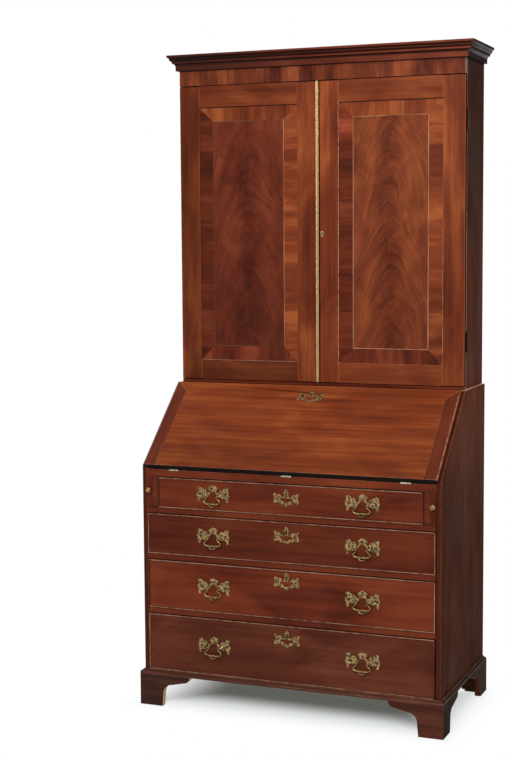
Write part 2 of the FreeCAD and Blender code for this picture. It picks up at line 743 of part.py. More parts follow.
def rounded_path(points, radii):
    """A wire of straight runs with tangent arcs at the inner points."""
    edges = []
    here = points[0]
    for before, corner, after, radius in zip(points, points[1:], points[2:], radii):
        back = (before - corner).normalize()
        ahead = (after - corner).normalize()
        half = back.getAngle(ahead) / 2
        reach = radius / math.tan(half)
        start = corner + back * reach
        end = corner + ahead * reach
        bisector = (back + ahead).normalize()
        through = corner + bisector * (radius / math.sin(half) - radius)
        edges.append(Part.LineSegment(here, start).toShape())
        edges.append(Part.Arc(start, through, end).toShape())
        here = end
    edges.append(Part.LineSegment(here, points[-1]).toShape())
    return Part.Wire(edges)


def bail():
    """A swan-necked bail hanging from its two pins, on the post line."""
    start = POST_SET - BAIL_PIN_IN
    half = [(start, 0), (BAIL_NECK_X, 0), (BAIL_BELLY_X, -BAIL_BELLY_DROP), (BAIL_CORNER_X, -BAIL_DROP)]
    points = [Vector(x, 0, z) for x, z in half]
    points += [Vector(-p.x, 0, p.z) for p in reversed(points)]
    bends = [BAIL_NECK_R, BAIL_BELLY_R, BAIL_CORNER_R]
    path = rounded_path(points, bends + bends[::-1])
    ring = Part.Wire(Part.makeCircle(BAIL_R, points[0], X_AXIS))
    swept = path.makePipeShell([ring], True, True)
    pin = rod(BAIL_PIN_R, points[0], X_AXIS, BAIL_PIN_IN + BAIL_PIN_OUT)
    return swept.fuse([pin, mirror_x(pin)]).removeSplitter()


def hung_bail(handle):
    """A bail hung at one handle."""
    return bail().translated(handle - Y_AXIS * POST_AXIS)


# Bookcase
def bookcase_side():
    """The right side, let out for the door's hinge leaves."""
    side = box(BOOK_INNER, BOOK_HALF, CASE_FRONT, BUREAU_D, BUREAU_TOP, BOOK_TOP)
    for z in DOOR_HINGES:
        side = side.cut(at_door_hinge(leaf_mortise(DOOR_HINGE_L, False), z))
    return side


def bookcase_bottom():
    """The bottom board and the strip under the doors."""
    board = box(-BOOK_INNER, BOOK_INNER, CASE_FRONT, BACK_Y, BUREAU_TOP, BUREAU_TOP + BOOK_BOTTOM_T)
    strip = box(-BOOK_HALF, BOOK_HALF, DOOR_SET, CASE_FRONT, BUREAU_TOP, DOOR_Z)
    return [board, strip]


def shelf_levels():
    """The undersides of the shelves, evenly spaced."""
    low = BUREAU_TOP + BOOK_BOTTOM_T
    clear = BOOK_TOP - BOOK_TOP_T - low - SHELVES * SHELF_T
    step = clear / (SHELVES + 1)
    return [low + (i + 1) * step + i * SHELF_T for i in range(SHELVES)]


def bookcase_shelves():
    """The shelves between the sides."""
    return [box(-BOOK_INNER, BOOK_INNER, CASE_FRONT + SHELF_SET, BACK_Y, z, z + SHELF_T)
            for z in shelf_levels()]


def cornice():
    """The cornice: a flat bed, a cove, a fillet, a cyma and a flat cap."""
    bed_z = FRIEZE_TOP + CORNICE_BED_H
    cove_z = bed_z + CORNICE_COVE_H
    step_z = cove_z + CORNICE_STEP_H
    cap_z = TOTAL_H - CORNICE_CAP_H
    hollow = CORNICE_COVE_PROUD - CORNICE_BED_PROUD
    sweep = CORNICE_PROUD - CORNICE_STEP_PROUD
    rise = cap_z - step_z
    middle = (CORNICE_STEP_PROUD + sweep / 2, step_z + rise / 2)
    outline = ((0, FRIEZE_TOP), (CORNICE_BED_PROUD, FRIEZE_TOP), (CORNICE_BED_PROUD, bed_z),
               ((CORNICE_BED_PROUD + hollow / 3, cove_z - CORNICE_COVE_H / 3), (CORNICE_COVE_PROUD, cove_z)),
               (CORNICE_STEP_PROUD, cove_z), (CORNICE_STEP_PROUD, step_z),
               ((CORNICE_STEP_PROUD + sweep / 3, step_z + rise / 6), middle),
               ((CORNICE_PROUD - sweep / 3, cap_z - rise / 6), (CORNICE_PROUD, cap_z)),
               (CORNICE_PROUD, TOTAL_H), (0, TOTAL_H))
    return planted_moulding(outline, CORNICE_PROUD, BOOK_HALF, DOOR_SET, BUREAU_D)


# Doors
def door_edges(side):
    """A door's outer X, meeting X and panel edges, for the left (-1) or right (1) door."""
    if side < 0:
        meet = MEET_X - DOOR_GAP / 2
        return -BOOK_HALF, meet, -BOOK_HALF + STILE_W, meet - MEET_STILE_W - ASTRAGAL_W
    meet = MEET_X + DOOR_GAP / 2
    return meet, BOOK_HALF, meet + MEET_STILE_W, BOOK_HALF - STILE_W


def door_levels():
    """A door's lowest and highest Z and those of its panel opening."""
    low = DOOR_Z + DOOR_GAP
    high = DOOR_TOP - DOOR_GAP
    return low, high, low + LOW_RAIL_H, high - TOP_RAIL_H


def door_panel(side):
    """The panel, its edges in the frame's grooves."""
    _, _, x0, x1 = door_edges(side)
    _, _, z0, z1 = door_levels()
    front = DOOR_SET + PANEL_SET
    return box(x0 - PANEL_LAP, x1 + PANEL_LAP, front, front + PANEL_T, z0 - PANEL_LAP, z1 + PANEL_LAP)


def door_frame(side):
    """Two stiles and two rails, grooved for the panel and let out for the hinges."""
    left, right, x0, x1 = door_edges(side)
    low, high, z0, z1 = door_levels()
    bars = [box(left, x0, DOOR_SET, DOOR_BACK, low, high), box(x1, right, DOOR_SET, DOOR_BACK, low, high),
            box(x0, x1, DOOR_SET, DOOR_BACK, low, z0), box(x0, x1, DOOR_SET, DOOR_BACK, z1, high)]
    cutters = [door_panel(side)]
    for z in DOOR_HINGES:
        mortise = at_door_hinge(leaf_mortise(DOOR_HINGE_L, True), z)
        cutters.append(mortise if side > 0 else mirror_x(mortise))
    if side > 0:
        cutters += [door_lock_case(), door_key_liner(0)]
    return [bar.cut(cutters) for bar in bars]


def door_lock_case():
    """The lock let into the back of the right door's meeting stile."""
    x0 = MEET_X + DOOR_GAP / 2
    half = DOOR_LOCK_H / 2
    return box(x0, x0 + DOOR_LOCK_W, DOOR_BACK - DOOR_LOCK_T, DOOR_BACK, DOOR_KEY_Z - half, DOOR_KEY_Z + half)


def door_key_liner(bore):
    """The brass liner of the right door's keyhole, or its hole where bore is 0."""
    place = Vector(DOOR_KEY_X, DOOR_SET, DOOR_KEY_Z)
    liner = rod(DOOR_KEY_LINER_R, place, Y_AXIS, DOOR_T - DOOR_LOCK_T)
    return liner.cut(rod(bore, place, Y_AXIS, DOOR_T - DOOR_LOCK_T)) if bore else liner


def astragal():
    """The half-round brass strip on the left door's meeting edge."""
    low, high, _, _ = door_levels()
    right = MEET_X - DOOR_GAP / 2
    left = right - ASTRAGAL_W
    crown = ((left + right) / 2, DOOR_SET - ASTRAGAL_PROUD)
    return prism_z(((left, DOOR_SET), (crown, (right, DOOR_SET))), low, high)


def door_hinge_leaves(side):
    """The leaves that turn with a door."""
    leaves = [at_door_hinge(hinge_leaf(DOOR_HINGE_L, True), z) for z in DOOR_HINGES]
    return leaves if side > 0 else [mirror_x(leaf) for leaf in leaves]


def fixed_hinge_leaves():
    """The leaves and pins that stay with the carcases."""
    door = [hinge_leaf(DOOR_HINGE_L, False), hinge_pin(DOOR_HINGE_L)]
    right = [at_door_hinge(piece, z) for z in DOOR_HINGES for piece in door]
    bed = [hinge_leaf(FALL_HINGE_L, False), hinge_pin(FALL_HINGE_L)]
    return (right + [mirror_x(piece) for piece in right]
            + [at_bed_hinge(piece, x) for x in FALL_HINGES for piece in bed])


# Fitted interior
def pigeonhole_case():
    """Thin boards that make the compartments behind the fall."""
    y0 = CASE_SET
    y1 = CASE_BACK
    x0, x1 = SMALL_X
    boards = [box(-CASE_HALF, CASE_HALF, y0, y1, HOLES_TOP, CASE_TOP),
              box(-CASE_HALF, CASE_HALF, y0, y1, BED_TOP, BED_TOP + CASE_BOARD_T)]
    z0 = BED_TOP + CASE_BOARD_T
    right = [box(x1, x1 + CASE_SIDE_T, y0, y1, z0, HOLES_TOP), box(x0 - CASE_SIDE_T, x0, y0, y1, z0, HOLES_TOP)]
    for row in range(SMALL_DRAWER_ROWS):
        top = z0 + (row + 1) * ROW_STEP
        right.append(box(x0, x1, y0, y1, top - CASE_BOARD_T, top))
    step = (x1 - x0 + CASE_BOARD_T) / PIGEONHOLES
    for hole in range(1, PIGEONHOLES):
        x = x0 + hole * step - CASE_BOARD_T
        right.append(box(x, x + CASE_BOARD_T, y0, y1, HOLES_Z, HOLES_TOP))
    return boards + right + [mirror_x(board) for board in right]


def small_drawer(row):
    """A small drawer on the right, counted from the bed, with its turned knob."""
    x0, x1 = SMALL_X
    middle = (x0 + x1) / 2
    half = (x1 - x0) / 2 - SMALL_GAP
    low = BED_TOP + CASE_BOARD_T + row * ROW_STEP + RUN_GAP
    high = low - RUN_GAP + SMALL_DRAWER_H - SMALL_GAP
    back = CASE_BACK - CASE_SET - SMALL_BACK_GAP
    pieces = [box(-half, half, 0, SMALL_FRONT_T, low, high)]
    pieces += drawer_box(half, low, high - SMALL_BOX_DROP, SMALL_FRONT_T, back, SMALL_BOX_T, 0)
    turning = knob(SMALL_KNOB_R, SMALL_KNOB_RIM_R, SMALL_KNOB_REACH, SMALL_KNOB_NECK_R,
                   SMALL_KNOB_NECK_END, SMALL_KNOB_FOOT_R, SMALL_KNOB_FOOT_T)
    pieces.append(moved(turning, 0, 0, (low + high) / 2))
    return [moved(piece, middle, CASE_SET, 0) for piece in pieces]


# Nodes
def save(name, solids):
    """Writes one node, moved so that the origin is under the middle of the piece."""
    Part.Compound([moved(solid, 0, Y_SHIFT, 0) for solid in solids]).exportStep(f"parts/{name}.step")


def carcase_nodes():
    """The pieces that don't move."""
    side = bureau_side()
    book_side = bookcase_side()
    front_feet, rear_feet = feet()
    return {
        "bureau_left_side": [mirror_x(side)],
        "bureau_right_side": [side],
        "bureau_top": [bureau_top()],
        "bureau_bottom": [box(-INNER_X, INNER_X, 0, BACK_Y, FOOT_H, FLOOR_Z)],
        "bureau_backboards": planks(INNER_X, BACK_Y, BUREAU_D, FOOT_H, BUREAU_TOP),
        "writing_bed": [writing_bed()],
        "drawer_divisions": drawer_divisions(),
        "base_moulding": base_moulding(),
        "front_feet": front_feet,
        "rear_feet": rear_feet,
        "pigeonhole_case": pigeonhole_case(),
        "bookcase_left_side": [mirror_x(book_side)],
        "bookcase_right_side": [book_side],
        "bookcase_top": [box(-BOOK_INNER, BOOK_INNER, CASE_FRONT, BACK_Y, BOOK_TOP - BOOK_TOP_T, BOOK_TOP)],
        "bookcase_bottom": bookcase_bottom(),
        "bookcase_backboards": planks(BOOK_INNER, BACK_Y, BUREAU_D, BUREAU_TOP, BOOK_TOP),
        "bookcase_shelves": bookcase_shelves(),
        "frieze_rail": [box(-BOOK_HALF, BOOK_HALF, DOOR_SET, CASE_FRONT, DOOR_TOP, BOOK_TOP)],
        "cornice": cornice(),
        "hinge_fixed_leaves": fixed_hinge_leaves(),
    }


def door_nodes():
    """The two doors."""
    return {
        "left_door_frame": door_frame(-1),
        "left_door_panel": [door_panel(-1)],
        "left_door_hinge_leaves": door_hinge_leaves(-1),
        "brass_astragal": [astragal()],
        "right_door_frame": door_frame(1),
        "right_door_panel": [door_panel(1)],
        "right_door_hinge_leaves": door_hinge_leaves(1),
        "right_door_lock": [door_lock_case(), door_key_liner(KEYHOLE_R)],
    }


def fall_nodes():
    """The fall and the lopers that carry it."""
    board, cleats = fall()
    arm = loper()
    arm_knob = loper_knob()
    return {
        "fall_board": board,
        "fall_cleats": cleats,
        "fall_lock": fall_lock(),
        "fall_hinge_leaves": fall_hinge_leaves(),
        "left_loper": [mirror_x(arm)],
        "right_loper": [arm],
        "left_loper_knob": [mirror_x(arm_knob)],
        "right_loper_knob": [arm_knob],
    }


def drawer_nodes():
    """The four long drawers with their bails, and the four small drawers."""
    nodes = {}
    for index in range(len(DRAWER_HEIGHTS)):
        name = f"drawer_{index + 1}"
        nodes[f"{name}_front"] = drawer_front(index)
        nodes[f"{name}_box"] = bureau_drawer_box(index)
        nodes[f"{name}_brasses"] = drawer_brasses(index)
        for side, handle in zip(("left", "right"), handle_places(index)):
            nodes[f"{name}_{side}_bail"] = [hung_bail(handle)]
    for row in range(SMALL_DRAWER_ROWS):
        pieces = small_drawer(row)
        nodes[f"small_drawer_right_{row + 1}"] = pieces
        nodes[f"small_drawer_left_{row + 1}"] = [mirror_x(piece) for piece in pieces]
    return nodes


def main():
    """Makes every node and writes it to the parts folder."""
    os.makedirs("parts", exist_ok=True)
    for nodes in (carcase_nodes(), door_nodes(), fall_nodes(), drawer_nodes()):
        for name, solids in nodes.items():
            save(name, solids)


main()
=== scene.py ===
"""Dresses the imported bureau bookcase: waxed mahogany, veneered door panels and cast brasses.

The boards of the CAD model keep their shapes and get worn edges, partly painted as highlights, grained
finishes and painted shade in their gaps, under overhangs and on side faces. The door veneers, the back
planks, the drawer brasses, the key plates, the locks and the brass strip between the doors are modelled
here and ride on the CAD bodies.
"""
import logging
import math
from dataclasses import dataclass, field, replace
from enum import Enum
from functools import partial
from typing import Callable, Self, Sequence

import bpy
from mathutils import Matrix, Vector


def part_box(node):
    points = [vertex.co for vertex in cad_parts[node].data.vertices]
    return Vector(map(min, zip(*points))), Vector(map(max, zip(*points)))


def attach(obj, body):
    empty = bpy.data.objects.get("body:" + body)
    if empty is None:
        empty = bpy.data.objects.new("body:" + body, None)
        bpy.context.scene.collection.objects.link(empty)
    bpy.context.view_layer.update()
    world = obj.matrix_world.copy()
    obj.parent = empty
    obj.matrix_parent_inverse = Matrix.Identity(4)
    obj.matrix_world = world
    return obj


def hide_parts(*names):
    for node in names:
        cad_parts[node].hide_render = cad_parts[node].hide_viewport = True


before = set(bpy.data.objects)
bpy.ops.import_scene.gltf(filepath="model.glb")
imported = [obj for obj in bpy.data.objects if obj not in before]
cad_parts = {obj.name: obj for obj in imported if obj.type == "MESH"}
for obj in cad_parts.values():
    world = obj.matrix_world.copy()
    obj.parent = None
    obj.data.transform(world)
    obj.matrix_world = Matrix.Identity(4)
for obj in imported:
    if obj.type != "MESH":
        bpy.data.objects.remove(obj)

LOG = logging.getLogger("bureau_bookcase")
MM = 0.001
FAR = 9.0
FACING = 0.9
FRONT_THICK = 20 * MM
FALL_LEAN = math.radians(41.374)

Colour = tuple[float, float, float]
Screen = tuple[int, int, int]
Point = tuple[float, float]
Points = tuple[Point, ...]
Triple = tuple[float, float, float]
Box = tuple[Triple, Triple]
Boxes = tuple[Box, ...]
Four = tuple[float, float, float, float]
Cut = tuple[Vector, Vector]
Picker = Callable[[Vector, Vector], int]
Socket = bpy.types.NodeSocket
Piece = bpy.types.Object


def from_srgb(screen: Screen) -> Colour:
    """Turns a colour given in screen levels from 0 to 255 into linear light."""
    levels = [level / 255 for level in screen]
    return tuple(c / 12.92 if c <= 0.04045 else ((c + 0.055) / 1.055) ** 2.4 for c in levels)


def space(x: Point = (-FAR, FAR), y: Point = (-FAR, FAR), z: Point = (-FAR, FAR)) -> Box:
    """A box that reaches past the object along each axis that is left out."""
    return tuple(zip(x, y, z))


class Grain(Enum):
    """Which way a board's grain runs."""

    ACROSS = 0
    BACKWARDS = 1
    UPRIGHT = 2
    UP_THE_SLOPE = 3


class Slot(Enum):
    """Names of the record's material slots."""

    PANEL = "panel_veneer"
    LINING = "lining_wood"
    STRINGING = "stringing"
    BRASS = "brass"


@dataclass(frozen=True)
class Pattern:
    """A noise: its repeats per metre along three axes, its finer layers and how far it is swirled."""

    repeats: Triple
    detail: float = 3.0
    warp: float = 0.0
    rough: float = 0.55


# Patterns of wood, their first repeats along the grain
WOOD_CLOUDS = Pattern((3.2, 9.0, 9.0), 2.0, 0.8)
WOOD_STREAKS = Pattern((1.6, 62.0, 62.0), 4.0, 0.5, 0.6)
WOOD_FIBRES = Pattern((14.0, 620.0, 620.0), 2.0)
WOOD_PORES = Pattern((70.0, 1500.0, 1500.0), 1.0)
BAND_CLOUDS = Pattern((5.0, 22.0, 22.0), 3.0, 0.5)
BAND_FIBRES = Pattern((9.0, 330.0, 330.0))

# Patterns of flame veneer, their first repeats up the arches
FLAME_SWAY = Pattern((5, 5, 5), 4.0)
FLAME_PLUMES = Pattern((46, 10, 1), 6.0, 0.3, 0.72)
FLAME_CLOUDS = Pattern((5, 9, 1), 4.0, 0.4, 0.6)
FLAME_FIBRES = Pattern((260, 18, 1))
FLAME_MOTTLE = Pattern((15, 15, 8), 5.0, 0.8, 0.62)

# Patterns of use
RUBBING = Pattern((46, 46, 46), 4.0, 0.4, 0.65)
HANDLING = Pattern((7, 7, 7))
STAIN = Pattern((160, 160, 160), 4.0, 0.6, 0.6)

NOISE_MIDDLE = 0.5

# Levels at which a pattern starts and ends to show
NOISE_SPREAD = (0.3, 0.7)
STAIN_SPREAD = (0.36, 0.64)
RUBBING_SPREAD = (0.36, 0.60)
PORE_SPREAD = (0.60, 0.74)
FIGURE_STOPS = (0.34, 0.50, 0.66)

FIBRE_SHARE = 0.14
PORE_SHARE = 0.45
LEAST_RUBBED = 0.2
SHEEN_DIP = 0.06
SHEEN_RISE = 0.08
DULL_ROUGH = 0.16
FIBRE_RELIEF = 0.06 * MM
FIBRE_STRENGTH = 0.5
SEED_STEPS = (1.0, 1.7, 0.6)
# Reach along X of the painted shade that darkens the left end
GLOOM_REACH = (-0.52, 0.25)
# Height over which the darkening by height is spread
SMOKE_HEIGHT = 2.2

# Pale colours of worn arrises, which also stand as painted highlights where the light catches them
WORN_EDGE = from_srgb((206, 152, 116))
RUBBED_SIDE = from_srgb((255, 206, 168))
RUBBED_RAIL = from_srgb((240, 210, 188))
# Painted shade for the dark lines in gaps, grooves and under overhangs
DARK_SEAM = from_srgb((24, 14, 10))
# Colour of the painted shade towards the left end
OLD_WAX = from_srgb((40, 20, 15))
EVERYWHERE = (space(),)


class Nodes:
    """A node tree, put together step by step."""

    def __init__(self, tree: bpy.types.NodeTree) -> None:
        """Takes up a tree."""
        self.tree = tree

    def plug(self, socket: Socket, value: object) -> None:
        """Links a socket to another, or sets it to a plain value.

        Args:
            socket: The socket that is fed.
            value: Another socket, a number, a vector or a colour.
        """
        if isinstance(value, bpy.types.NodeSocket):
            self.tree.links.new(value, socket)
        else:
            socket.default_value = (*value, 1.0) if socket.type == "RGBA" else value

    def add(self, kind: str, inputs: dict[str | int, object] | None = None,
            **settings: object) -> bpy.types.Node:
        """Adds a node.

        Args:
            kind: The kind of node.
            inputs: What its inputs are plugged to.
            settings: Its options.

        Returns:
            The node.
        """
        node = self.tree.nodes.new(kind)
        for key, value in settings.items():
            setattr(node, key, value)
        for key, value in (inputs or {}).items():
            self.plug(node.inputs[key], value)
        return node

    def math(self, operation: str, first: object, second: object = 0.0) -> Socket:
        """Two numbers worked into one."""
        return self.add("ShaderNodeMath", {0: first, 1: second}, operation=operation).outputs[0]

    def seen(self) -> Socket:
        """Finds what the eye, polished metal and glass see.

        Returns:
            A level of 1 for these rays.
        """
        rays = self.add("ShaderNodeLightPath").outputs
        level = self.math("MAXIMUM", rays["Is Camera Ray"], rays["Is Glossy Ray"])
        return self.math("MAXIMUM", level, rays["Is Transmission Ray"])


class Recipe(Nodes):
    """A material's node tree round one Principled shader."""

    def __init__(self, name: str) -> None:
        """Starts an empty material.

        Args:
            name: The material's name.
        """
        self.material = bpy.data.materials.new(name)
        self.material.use_nodes = True
        super().__init__(self.material.node_tree)
        self.shader = self.tree.nodes["Principled BSDF"]
        self.place = self.add("ShaderNodeTexCoord").outputs["Object"]

    def shade(self, sockets: dict[str, object]) -> None:
        """Plugs the shader's sockets by their names."""
        for name, value in sockets.items():
            self.plug(self.shader.inputs[name], value)

    def axes(self, place: Socket) -> bpy.types.NodeOutputs:
        """A place's X, Y and Z."""
        return self.add("ShaderNodeSeparateXYZ", {0: place}).outputs

    def mapped(self, place: Socket, scale: Sequence[float] = (1, 1, 1), turn: Sequence[float] = (0, 0, 0),
               shift: Sequence[float] = (0, 0, 0)) -> Socket:
        """A place, stretched along each axis, then turned about the axes in radians and shifted."""
        changes = {"Vector": place, "Scale": scale, "Rotation": turn, "Location": shift}
        return self.add("ShaderNodeMapping", changes).outputs["Vector"]

    def noise(self, pattern: Pattern, place: Socket | None = None,
              shift: Sequence[float] = (0, 0, 0)) -> Socket:
        """Lays a noise over the piece.

        Args:
            pattern: How it repeats and is layered.
            place: Where it is read; the piece's own place if left out.
            shift: A move of the stretched pattern.

        Returns:
            The noise's level.
        """
        where = self.mapped(self.place if place is None else place, pattern.repeats, shift=shift)
        look = {"Vector": where, "Scale": 1.0, "Detail": pattern.detail, "Roughness": pattern.rough,
                "Distortion": pattern.warp}
        return self.add("ShaderNodeTexNoise", look).outputs["Fac"]

    def total(self, *parts: tuple[Socket, float], start: object = 0.0) -> Socket:
        """Adds up levels.

        Args:
            parts: Levels, each with its share.
            start: What they are added to.

        Returns:
            The sum.
        """
        for part, share in parts:
            start = self.math("ADD", start, self.math("MULTIPLY", part, share))
        return start

    def range(self, level: Socket, low: float, high: float, to_low: float = 0.0,
              to_high: float = 1.0) -> Socket:
        """A level, spread smoothly from one range onto another."""
        ends = {"Value": level, "From Min": low, "From Max": high, "To Min": to_low, "To Max": to_high}
        return self.add("ShaderNodeMapRange", ends, interpolation_type="SMOOTHSTEP").outputs["Result"]

    def ramp(self, level: Socket, stops: Sequence[tuple[float, Colour]]) -> Socket:
        """Colours along a level.

        Args:
            level: The level, from 0 to 1.
            stops: Places on it and their colours.

        Returns:
            The colour.
        """
        node = self.add("ShaderNodeValToRGB", {"Fac": level})
        elements = node.color_ramp.elements
        while len(elements) < len(stops):
            elements.new(0.5)
        for element, (place, colour) in zip(elements, stops):
            element.position = place
            element.color = (*colour, 1.0)
        return node.outputs["Color"]

    def mix(self, share: object, first: object, second: object, blend: str = "MIX") -> Socket:
        """Mixes two colours.

        Args:
            share: The second one's share.
            first: A colour.
            second: The other colour.
            blend: How they are mixed.

        Returns:
            The mixed colour.
        """
        node = self.add("ShaderNodeMix", {0: share}, data_type="RGBA", blend_type=blend)
        for place, colour in ((6, first), (7, second)):
            self.plug(node.inputs[place], colour)
        return node.outputs[2]

    def inside(self, box: Box) -> Socket:
        """Finds what lies in a box.

        Args:
            box: Its lowest and highest corners.

        Returns:
            A level of 1 inside it.
        """
        near = self.mapped(self.place, shift=[-(low + high) / 2 for low, high in zip(*box)])
        level = 1.0
        for axis, low, high in zip(self.axes(near), *box):
            within = self.math("LESS_THAN", self.math("ABSOLUTE", axis), (high - low) / 2)
            level = self.math("MULTIPLY", level, within)
        return level

    def bump(self, height: Socket, depth: float, strength: float = 1.0) -> None:
        """Raises the surface by a level whose 1 stands for a depth in metres, at some strength."""
        node = self.add("ShaderNodeBump", {"Strength": strength, "Distance": depth, "Height": height})
        self.plug(self.shader.inputs["Normal"], node.outputs["Normal"])


@dataclass(frozen=True)
class Finish:
    """A finish, made into a material once for each name."""

    name: str

    @classmethod
    def picked(cls, name: str, *screens: Screen, **options: object) -> Self:
        """A finish whose colours are given in screen levels, the darkest first."""
        return cls(name, *(from_srgb(screen) for screen in screens), **options)

    def material(self) -> bpy.types.Material:
        """Builds the material, or finds the one that has its name.

        Returns:
            The material.
        """
        known = bpy.data.materials.get(self.name)
        if known:
            return known
        recipe = Recipe(self.name)
        self.lay(recipe)
        return recipe.material

    def lay(self, recipe: Recipe) -> None:
        """Plugs the colour, the gloss and the relief, for each kind of finish in its own way."""
        raise NotImplementedError


@dataclass(frozen=True)
class Mahogany(Finish):
    """Waxed wood, from its dark pores to its bright figure."""

    deep: Colour
    body: Colour
    glow: Colour
    grain: Grain = Grain.ACROSS
    cloud: float = 0.5
    # How pale the arrises are rubbed: worn edges and painted highlight
    wear: float = 0.0
    worn_to: Colour = WORN_EDGE
    sheen: float = 0.36
    gloss: float = 0.07
    seed: float = 0.0
    # Strength of the painted shade towards the left end
    gloom: float = 0.0
    # Darkening shares by height; on the sides and returns this is painted shade
    smoke: Points = ()
    # Boxes in which the arrises are painted dark as shade
    seams: Boxes = ()
    joints: Boxes = ()

    def grained(self, recipe: Recipe, pattern: Pattern) -> Socket:
        """Lays a pattern along the grain.

        Args:
            recipe: The material being made.
            pattern: The pattern, its first repeats along the grain.

        Returns:
            Its level.
        """
        place, axis = recipe.place, self.grain.value
        if self.grain is Grain.UP_THE_SLOPE:
            place, axis = recipe.mapped(place, turn=(-FALL_LEAN, 0, 0)), Grain.BACKWARDS.value
        along, across, _ = pattern.repeats
        repeats = [across] * 3
        repeats[axis] = along
        return recipe.noise(replace(pattern, repeats=tuple(repeats)), place,
                            [self.seed * step for step in SEED_STEPS])

    def tone(self, recipe: Recipe) -> tuple[Socket, Socket]:
        """Works out the figure.

        Args:
            recipe: The material being made.

        Returns:
            The figure's level and the fine fibre's level.
        """
        clouds, streaks, fibre = (self.grained(recipe, pattern)
                                  for pattern in (WOOD_CLOUDS, WOOD_STREAKS, WOOD_FIBRES))
        streak_share = 1 - FIBRE_SHARE - self.cloud
        return recipe.total((clouds, self.cloud), (streaks, streak_share), (fibre, FIBRE_SHARE)), fibre

    def colours(self, recipe: Recipe, tone: Socket) -> Socket:
        """Colours the figure and its short dark pores.

        Args:
            recipe: The material being made.
            tone: The figure's level.

        Returns:
            The wood's colour.
        """
        wood = recipe.ramp(tone, list(zip(FIGURE_STOPS, (self.deep, self.body, self.glow))))
        pores = recipe.range(self.grained(recipe, WOOD_PORES), *PORE_SPREAD, 0.0, PORE_SHARE)
        return recipe.mix(pores, wood, self.deep)

    def aged(self, recipe: Recipe, colour: Socket) -> Socket:
        """Rubs the arrises pale, partly as painted highlight, paints shade to the left, darkens by height and
        marks joints and seam boxes.

        Args:
            recipe: The material being made.
            colour: The wood's colour.

        Returns:
            The aged colour.
        """
        # Worn arrises rubbed pale, also standing as painted highlights
        if self.wear:
            rubbed = recipe.range(recipe.noise(RUBBING), *RUBBING_SPREAD, LEAST_RUBBED * self.wear, self.wear)
            colour = recipe.mix(rubbed, colour, self.worn_to)
        # Painted shade: the colour darkens towards the left end, where the light falls off
        if self.gloom:
            share = recipe.range(recipe.axes(recipe.place)["X"], *GLOOM_REACH, self.gloom, 0.0)
            colour = recipe.mix(share, colour, OLD_WAX)
        # Darkening by height, which is painted shade on the sides and returns
        if self.smoke:
            height = recipe.math("DIVIDE", recipe.axes(recipe.place)["Z"], SMOKE_HEIGHT)
            grey = recipe.ramp(height, [(z / SMOKE_HEIGHT, (share,) * 3) for z, share in self.smoke])
            colour = recipe.mix(1.0, colour, grey, "MULTIPLY")
        # Joints are marked lighter; the seam boxes take painted shade
        for boxes, shade in ((self.joints, self.glow), (self.seams, DARK_SEAM)):
            for box in boxes:
                colour = recipe.mix(recipe.inside(box), colour, shade)
        return colour

    def lay(self, recipe: Recipe) -> None:
        """Plugs the aged wood's colour, its hand-rubbed sheen and its fibre.

        Args:
            recipe: The material being made.
        """
        tone, fibre = self.tone(recipe)
        sheen = recipe.range(recipe.noise(HANDLING), *NOISE_SPREAD, self.sheen - SHEEN_DIP,
                             self.sheen + SHEEN_RISE)
        recipe.shade({"Base Color": self.aged(recipe, self.colours(recipe, tone)), "Roughness": sheen,
                      "Specular IOR Level": self.gloss})
        recipe.bump(fibre, FIBRE_RELIEF, FIBRE_STRENGTH)

    def worn(self, wear: float, name: str, seams: Boxes = (), joints: Boxes = ()) -> Self:
        """The same wood on an arris, rubbed pale in places, partly as painted highlight, lighter in its
        joints and painted dark as shade in its seam boxes.
        """
        return replace(self, name=f"{name}_arris", wear=wear, seams=seams, joints=joints)

    def shaded(self, name: str, share: float) -> Self:
        """The same wood under another name, darker or lighter by a share."""
        shades = [tuple(level * share for level in colour) for colour in (self.deep, self.body, self.glow)]
        return replace(self, name=name, **dict(zip(("deep", "body", "glow"), shades)))


@dataclass(frozen=True)
class FlameVeneer(Mahogany):
    """Book-matched veneer from a fork of the tree: plumes that arch over a dark spine."""

    middle: float = 0.0
    arch: float = 9.0
    arch_power: float = 1.7
    sway_across: float = 0.050
    sway_up: float = 0.16
    spine_half: float = 0.075
    spine_tones: Point = (-0.075, 0.025)
    ground: float = 0.25
    shares: Four = (0.42, 0.38, 0.24, 0.46)

    def tone(self, recipe: Recipe) -> tuple[Socket, Socket]:
        """Works out a figure of nested arches about the panel's middle line.

        Args:
            recipe: The material being made.

        Returns:
            The figure's level and the fine fibre's level.
        """
        sway = recipe.noise(FLAME_SWAY, shift=(self.seed, 0, 0))
        axes = recipe.axes(recipe.place)
        off = recipe.total((recipe.math("SUBTRACT", sway, NOISE_MIDDLE), self.sway_across),
                           start=recipe.math("SUBTRACT", axes["X"], self.middle))
        rise = recipe.total((sway, self.sway_up), start=axes["Z"])
        aside = recipe.math("ABSOLUTE", off)
        phase = recipe.total((recipe.math("POWER", aside, self.arch_power), self.arch), start=rise)
        arched = recipe.add("ShaderNodeCombineXYZ", {"X": phase, "Y": off, "Z": self.seed}).outputs[0]
        plumes, clouds, fibre = (recipe.noise(pattern, arched)
                                 for pattern in (FLAME_PLUMES, FLAME_CLOUDS, FLAME_FIBRES))
        mottle = recipe.noise(FLAME_MOTTLE, shift=(0, 0, self.seed))
        spine = recipe.range(aside, 0.0, self.spine_half, *self.spine_tones)
        figure = recipe.total(*zip((plumes, clouds, fibre, mottle), self.shares),
                              start=recipe.math("SUBTRACT", spine, self.ground))
        return figure, fibre


